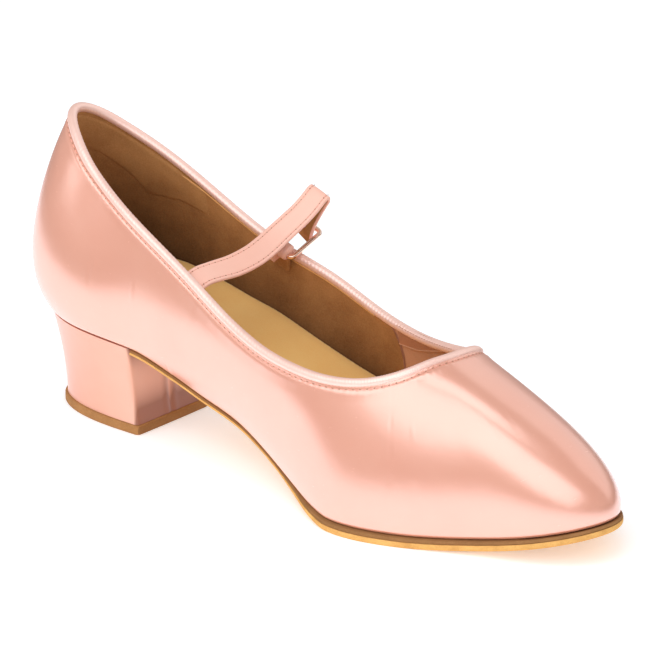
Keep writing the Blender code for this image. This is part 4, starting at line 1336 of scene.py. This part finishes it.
def nap_group():
    """Suede and brushed leather: short nap, darker where it lies the other way."""
    group, given, out = new_group("suede_nap", {
        "Colour": WHITE, "Deep Colour": WHITE, "Patch Size": 60.0, "Contrast": 0.5, "Painted Shade Tone": 1.0})
    space = add_node(group, "ShaderNodeTexCoord").outputs["Object"]
    scaled = add_node(group, "ShaderNodeVectorMath", operation="SCALE")
    join(group, space, scaled.inputs[0])
    join(group, given.outputs["Patch Size"], scaled.inputs["Scale"])
    patches = noise(group, scaled.outputs[0], 1.0, 4.0, 0.6)
    grain = noise(group, space, 1900.0, 3.0, 0.65)
    fluff = noise(group, space, 700.0, 2.0, 0.5)
    tone = spread(group, patches, 0.32, 0.68)
    tone = maths(group, "ADD", maths(group, "MULTIPLY", tone, given.outputs["Contrast"]),
                 spread(group, grain, 0.3, 0.7, -0.22, 0.22))
    colour = blend_colour(group, tone, given.outputs["Colour"], given.outputs["Deep Colour"])
    # Painted shade: the colour is darkened low in the shoe and towards its back, by the tone given for it
    level = add_node(group, "ShaderNodeVectorMath", {1: (0.35, 0.0, 1.0)}, operation="DOT_PRODUCT")
    join(group, space, level.inputs[0])
    depth = spread(group, level.outputs["Value"], 0.078, 0.046)
    place = add_node(group, "ShaderNodeSeparateXYZ")
    join(group, space, place.inputs[0])
    depth = maths(group, "MULTIPLY", depth, spread(group, place.outputs["X"], 0.135, 0.085))
    painted_shade = blend_colour(group, 1.0, colour, given.outputs["Painted Shade Tone"], "MULTIPLY")
    join(group, blend_colour(group, depth, colour, painted_shade), out.inputs["Colour"])
    join(group, spread(group, grain, 0.3, 0.7, 0.72, 0.95), out.inputs["Roughness"])
    join(group, maths(group, "ADD", grain, fluff), out.inputs["Height"])
    return group


def polish_group():
    """Polished metal: faint marks of polishing and of handling."""
    group, given, out = new_group("polished_metal", {
        "Colour": WHITE, "Deep Colour": WHITE, "Smoothness": 0.2})
    space = add_node(group, "ShaderNodeTexCoord").outputs["Object"]
    marks = noise(group, stretched(group, space, (1.0, 6.0, 1.0)), 600.0, 3.0, 0.6)
    cloud = noise(group, space, 260.0, 2.0, 0.5)
    join(group, blend_colour(group, spread(group, cloud, 0.3, 0.7), given.outputs["Colour"],
                             given.outputs["Deep Colour"]), out.inputs["Colour"])
    rough = maths(group, "ADD", given.outputs["Smoothness"], spread(group, marks, 0.3, 0.7, -0.04, 0.08))
    join(group, rough, out.inputs["Roughness"])
    join(group, marks, out.inputs["Height"])
    return group


def base_material(name, values):
    """A material with its Principled shader's own sockets set."""
    material = bpy.data.materials.new(name)
    material.use_nodes = True
    tree = material.node_tree
    shader = tree.nodes["Principled BSDF"]
    for key, value in values.items():
        shader.inputs[key].default_value = value
    return material, tree, shader


def dress(name, group, inputs, values, bump):
    """A material whose colour, roughness and bump come from one of the cloth groups."""
    material, tree, shader = base_material(name, values)
    node = tree.nodes.new("ShaderNodeGroup")
    node.node_tree = group
    for key, value in inputs.items():
        node.inputs[key].default_value = value
    join(tree, node.outputs["Colour"], shader.inputs["Base Color"])
    join(tree, node.outputs["Roughness"], shader.inputs["Roughness"])
    relief = add_node(tree, "ShaderNodeBump", {"Strength": 1.0, "Distance": bump * MM})
    join(tree, node.outputs["Height"], relief.inputs["Height"])
    join(tree, relief.outputs["Normal"], shader.inputs["Normal"])
    return material


def two_tones(colour, deep, **others):
    """A finish's two tones and its other values, as inputs of its group."""
    return {"Colour": (*colour, 1), "Deep Colour": (*deep, 1), **others}


def make_materials():
    """Every finish of the shoe, by name."""
    threads = satin_threads_group()
    nap = nap_group()
    silk = {"Metallic": 0.2, "IOR": 2.0, "Specular IOR Level": 1.0,
            "Sheen Weight": 0.1, "Sheen Roughness": 0.4, "Sheen Tint": (1.0, 0.86, 0.80, 1.0)}
    heel_silk = {**silk, "Metallic": 0.06, "IOR": 1.5, "Specular IOR Level": 0.45}
    matt = {"Specular IOR Level": 0.12}
    soft = {"Specular IOR Level": 0.3, "Sheen Weight": 0.5, "Sheen Roughness": 0.5,
            "Sheen Tint": (1.0, 0.78, 0.45, 1.0)}
    finish = {}
    for row in SATINS:
        inputs = two_tones(row.colour, row.deep, **{"Thread Tone": row.thread, "Smoothness": row.rough})
        if row.key == "heel":
            inputs.update({"Back Painted Shade": HEEL_BACK_PAINTED_SHADE, "Breast Painted Shade": HEEL_BREAST_PAINTED_SHADE})
        gloss = heel_silk if row.key in ("heel", "strap") else silk
        finish[row.key] = dress(row.name, threads, inputs, gloss, 0.05)
    for row in NAPS:
        inputs = two_tones(row.colour, row.deep, **{
            "Patch Size": row.size, "Contrast": row.contrast, "Painted Shade Tone": row.tone})
        values = soft if row.key == "insole" else matt
        finish[row.key] = dress(row.name, nap, inputs, values, row.relief)
    finish["metal"] = dress("rose_gold_metal", polish_group(), two_tones(
        (1.0, 0.72, 0.58), (0.96, 0.64, 0.49), Smoothness=0.22), {"Metallic": 1.0}, 0.02)
    return finish


def add_window(name, turn, lift, away, width, height, glow, roll=0.0, colour=(1, 1, 1)):
    """A soft box of the studio, in a direction from the shoe, with the brightness of its face."""
    data = bpy.data.lights.new(name, "AREA")
    data.shape = "RECTANGLE"
    data.size = width
    data.size_y = height
    data.energy = glow * np.pi * width * height
    data.color = colour
    lamp = bpy.data.objects.new(name, data)
    turn, lift = np.radians((turn, lift))
    back = Vector((np.cos(lift) * np.cos(turn), np.cos(lift) * np.sin(turn), np.sin(lift)))
    lamp.location = Vector((0.1, 0.0, 0.04)) + back * away
    rolled = Matrix.Rotation(np.radians(roll), 4, "Z")
    lamp.rotation_euler = (back.to_track_quat("Z", "Y").to_matrix().to_4x4() @ rolled).to_euler()
    lamp.visible_camera = False
    bpy.context.scene.collection.objects.link(lamp)


def make_floor():
    """A pale lit table that glows; gloss sees a painted reflection of it, a pale blue glow near the shoe
    that fades to dark away from it.
    """
    mesh = bpy.data.meshes.new("floor")
    reach = 6.0
    corners = [(-reach, -reach, 0), (reach, -reach, 0), (reach, reach, 0), (-reach, reach, 0)]
    mesh.from_pydata(corners, [], [(0, 1, 2, 3)])
    paper, tree, shader = base_material("floor_paper", {
        "Base Color": (0.90, 0.90, 0.90, 1), "Roughness": 0.9, "Specular IOR Level": 0.2,
        "Emission Color": (1, 1, 1, 1), "Emission Strength": 1.0})
    space = add_node(tree, "ShaderNodeTexCoord").outputs["Object"]
    centred = add_node(tree, "ShaderNodeMapping", {"Location": (0.05, 0.0, 0.0)}, vector_type="POINT")
    join(tree, space, centred.inputs["Vector"])
    narrow = stretched(tree, centred.outputs["Vector"], (0.5, 1.0, 1.0))
    away = add_node(tree, "ShaderNodeVectorMath", operation="LENGTH")
    join(tree, narrow, away.inputs[0])
    # Painted reflection: glossy rays see the floor as a pale blue glow near the shoe and as dark further
    # from it
    far = spread(tree, away.outputs["Value"], 0.15, 0.24)
    beside = add_node(tree, "ShaderNodeSeparateXYZ")
    join(tree, space, beside.inputs[0])
    far = maths(tree, "MULTIPLY", far, spread(tree, beside.outputs["X"], -0.16, -0.04, 0.9, 1.0))
    seen = add_node(tree, "ShaderNodeLightPath").outputs["Is Glossy Ray"]
    painted_dark_reflection = maths(tree, "MULTIPLY", far, seen)
    join(tree, blend_colour(tree, painted_dark_reflection, (0.90, 0.90, 0.90, 1), (0.10, 0.09, 0.08, 1)),
         shader.inputs["Base Color"])
    glow = blend_colour(tree, far, (0.70, 0.86, 1.0, 1), (0.0, 0.0, 0.0, 1))
    join(tree, blend_colour(tree, seen, (0.31, 0.31, 0.31, 1), glow), shader.inputs["Emission Color"])
    mesh.materials.append(paper)
    floor = bpy.data.objects.new("floor", mesh)
    bpy.context.scene.collection.objects.link(floor)


def make_studio():
    """A pale room, a large soft box on the inner side and softer fills."""
    scene = bpy.context.scene
    scene.view_settings.view_transform = "Standard"
    make_floor()
    world = bpy.data.worlds.new("studio")
    world.use_nodes = True
    sky = world.node_tree.nodes["Background"]
    sky.inputs["Color"].default_value = (0.97, 0.985, 1.0, 1)
    seen = add_node(world.node_tree, "ShaderNodeLightPath").outputs["Is Camera Ray"]
    join(world.node_tree, spread(world.node_tree, seen, 0.0, 1.0, 0.46, 1.0), sky.inputs["Strength"])
    scene.world = world
    add_window("inner_side", -76, 36, 1.45, 3.1, 1.30, 1.8, -22, (0.84, 0.93, 1.0))
    add_window("inner_high", -72, 76, 1.5, 1.0, 0.6, 2.0, 0, (0.86, 0.94, 1.0))
    add_window("behind_low", -145, 13, 1.5, 0.50, 0.20, 1.8, 0, (0.84, 0.93, 1.0))
    add_window("outer_fill", 72, 34, 1.5, 2.0, 1.5, 0.62, 0, (0.90, 0.96, 1.0))


def make_camera():
    """The camera at the photograph's place and angle."""
    data = bpy.data.cameras.new("camera")
    data.lens = 288.55
    data.sensor_width = 36.0
    camera = bpy.data.objects.new("camera", data)
    turn, lift, roll = np.radians((39.6395, 20.7273, 0.4133))
    back = np.array([np.sin(turn) * np.cos(lift), -np.cos(turn) * np.cos(lift), np.sin(lift)])
    level = np.array([np.cos(turn), np.sin(turn), 0.0])
    above = np.cross(back, level)
    right = level * np.cos(roll) + above * np.sin(roll)
    up = above * np.cos(roll) - level * np.sin(roll)
    place = placed([1126.577, -1219.665, 649.450])[0]
    camera.matrix_world = Matrix([(*row, p) for row, p in zip(np.column_stack([right, up, back]), place)]
                                 + [(0, 0, 0, 1)])
    bpy.context.scene.collection.objects.link(camera)
    bpy.context.scene.camera = camera


def main():
    """Every piece of the shoe, then the studio and the camera."""
    finish = make_materials()
    make_satin_upper(finish["satin"])
    make_binding(finish["binding"])
    make_topline_stitches(finish["thread"], finish["shade"])
    make_linings(finish["suede"], finish["vamp_cloth"])
    make_facing(finish["facing"], finish["vamp_cloth"])
    make_lining_edges(finish["gold_edge"], finish["shade"])
    make_heel_grip(finish["grip"])
    make_sole(finish["sole"], finish["dye_and_painted_shade"])
    make_insole(finish["insole"])
    make_heel(finish["heel"])
    make_top_piece(finish["wear"], finish["dye_and_painted_shade"])
    make_strap(finish["strap"], finish["suede"], finish["thread"], finish["shade"])
    make_buckle_frame(finish["metal"])
    make_prong(finish["metal"])
    make_tab(finish["strap"], finish["suede"])
    make_studio()
    make_camera()


main()
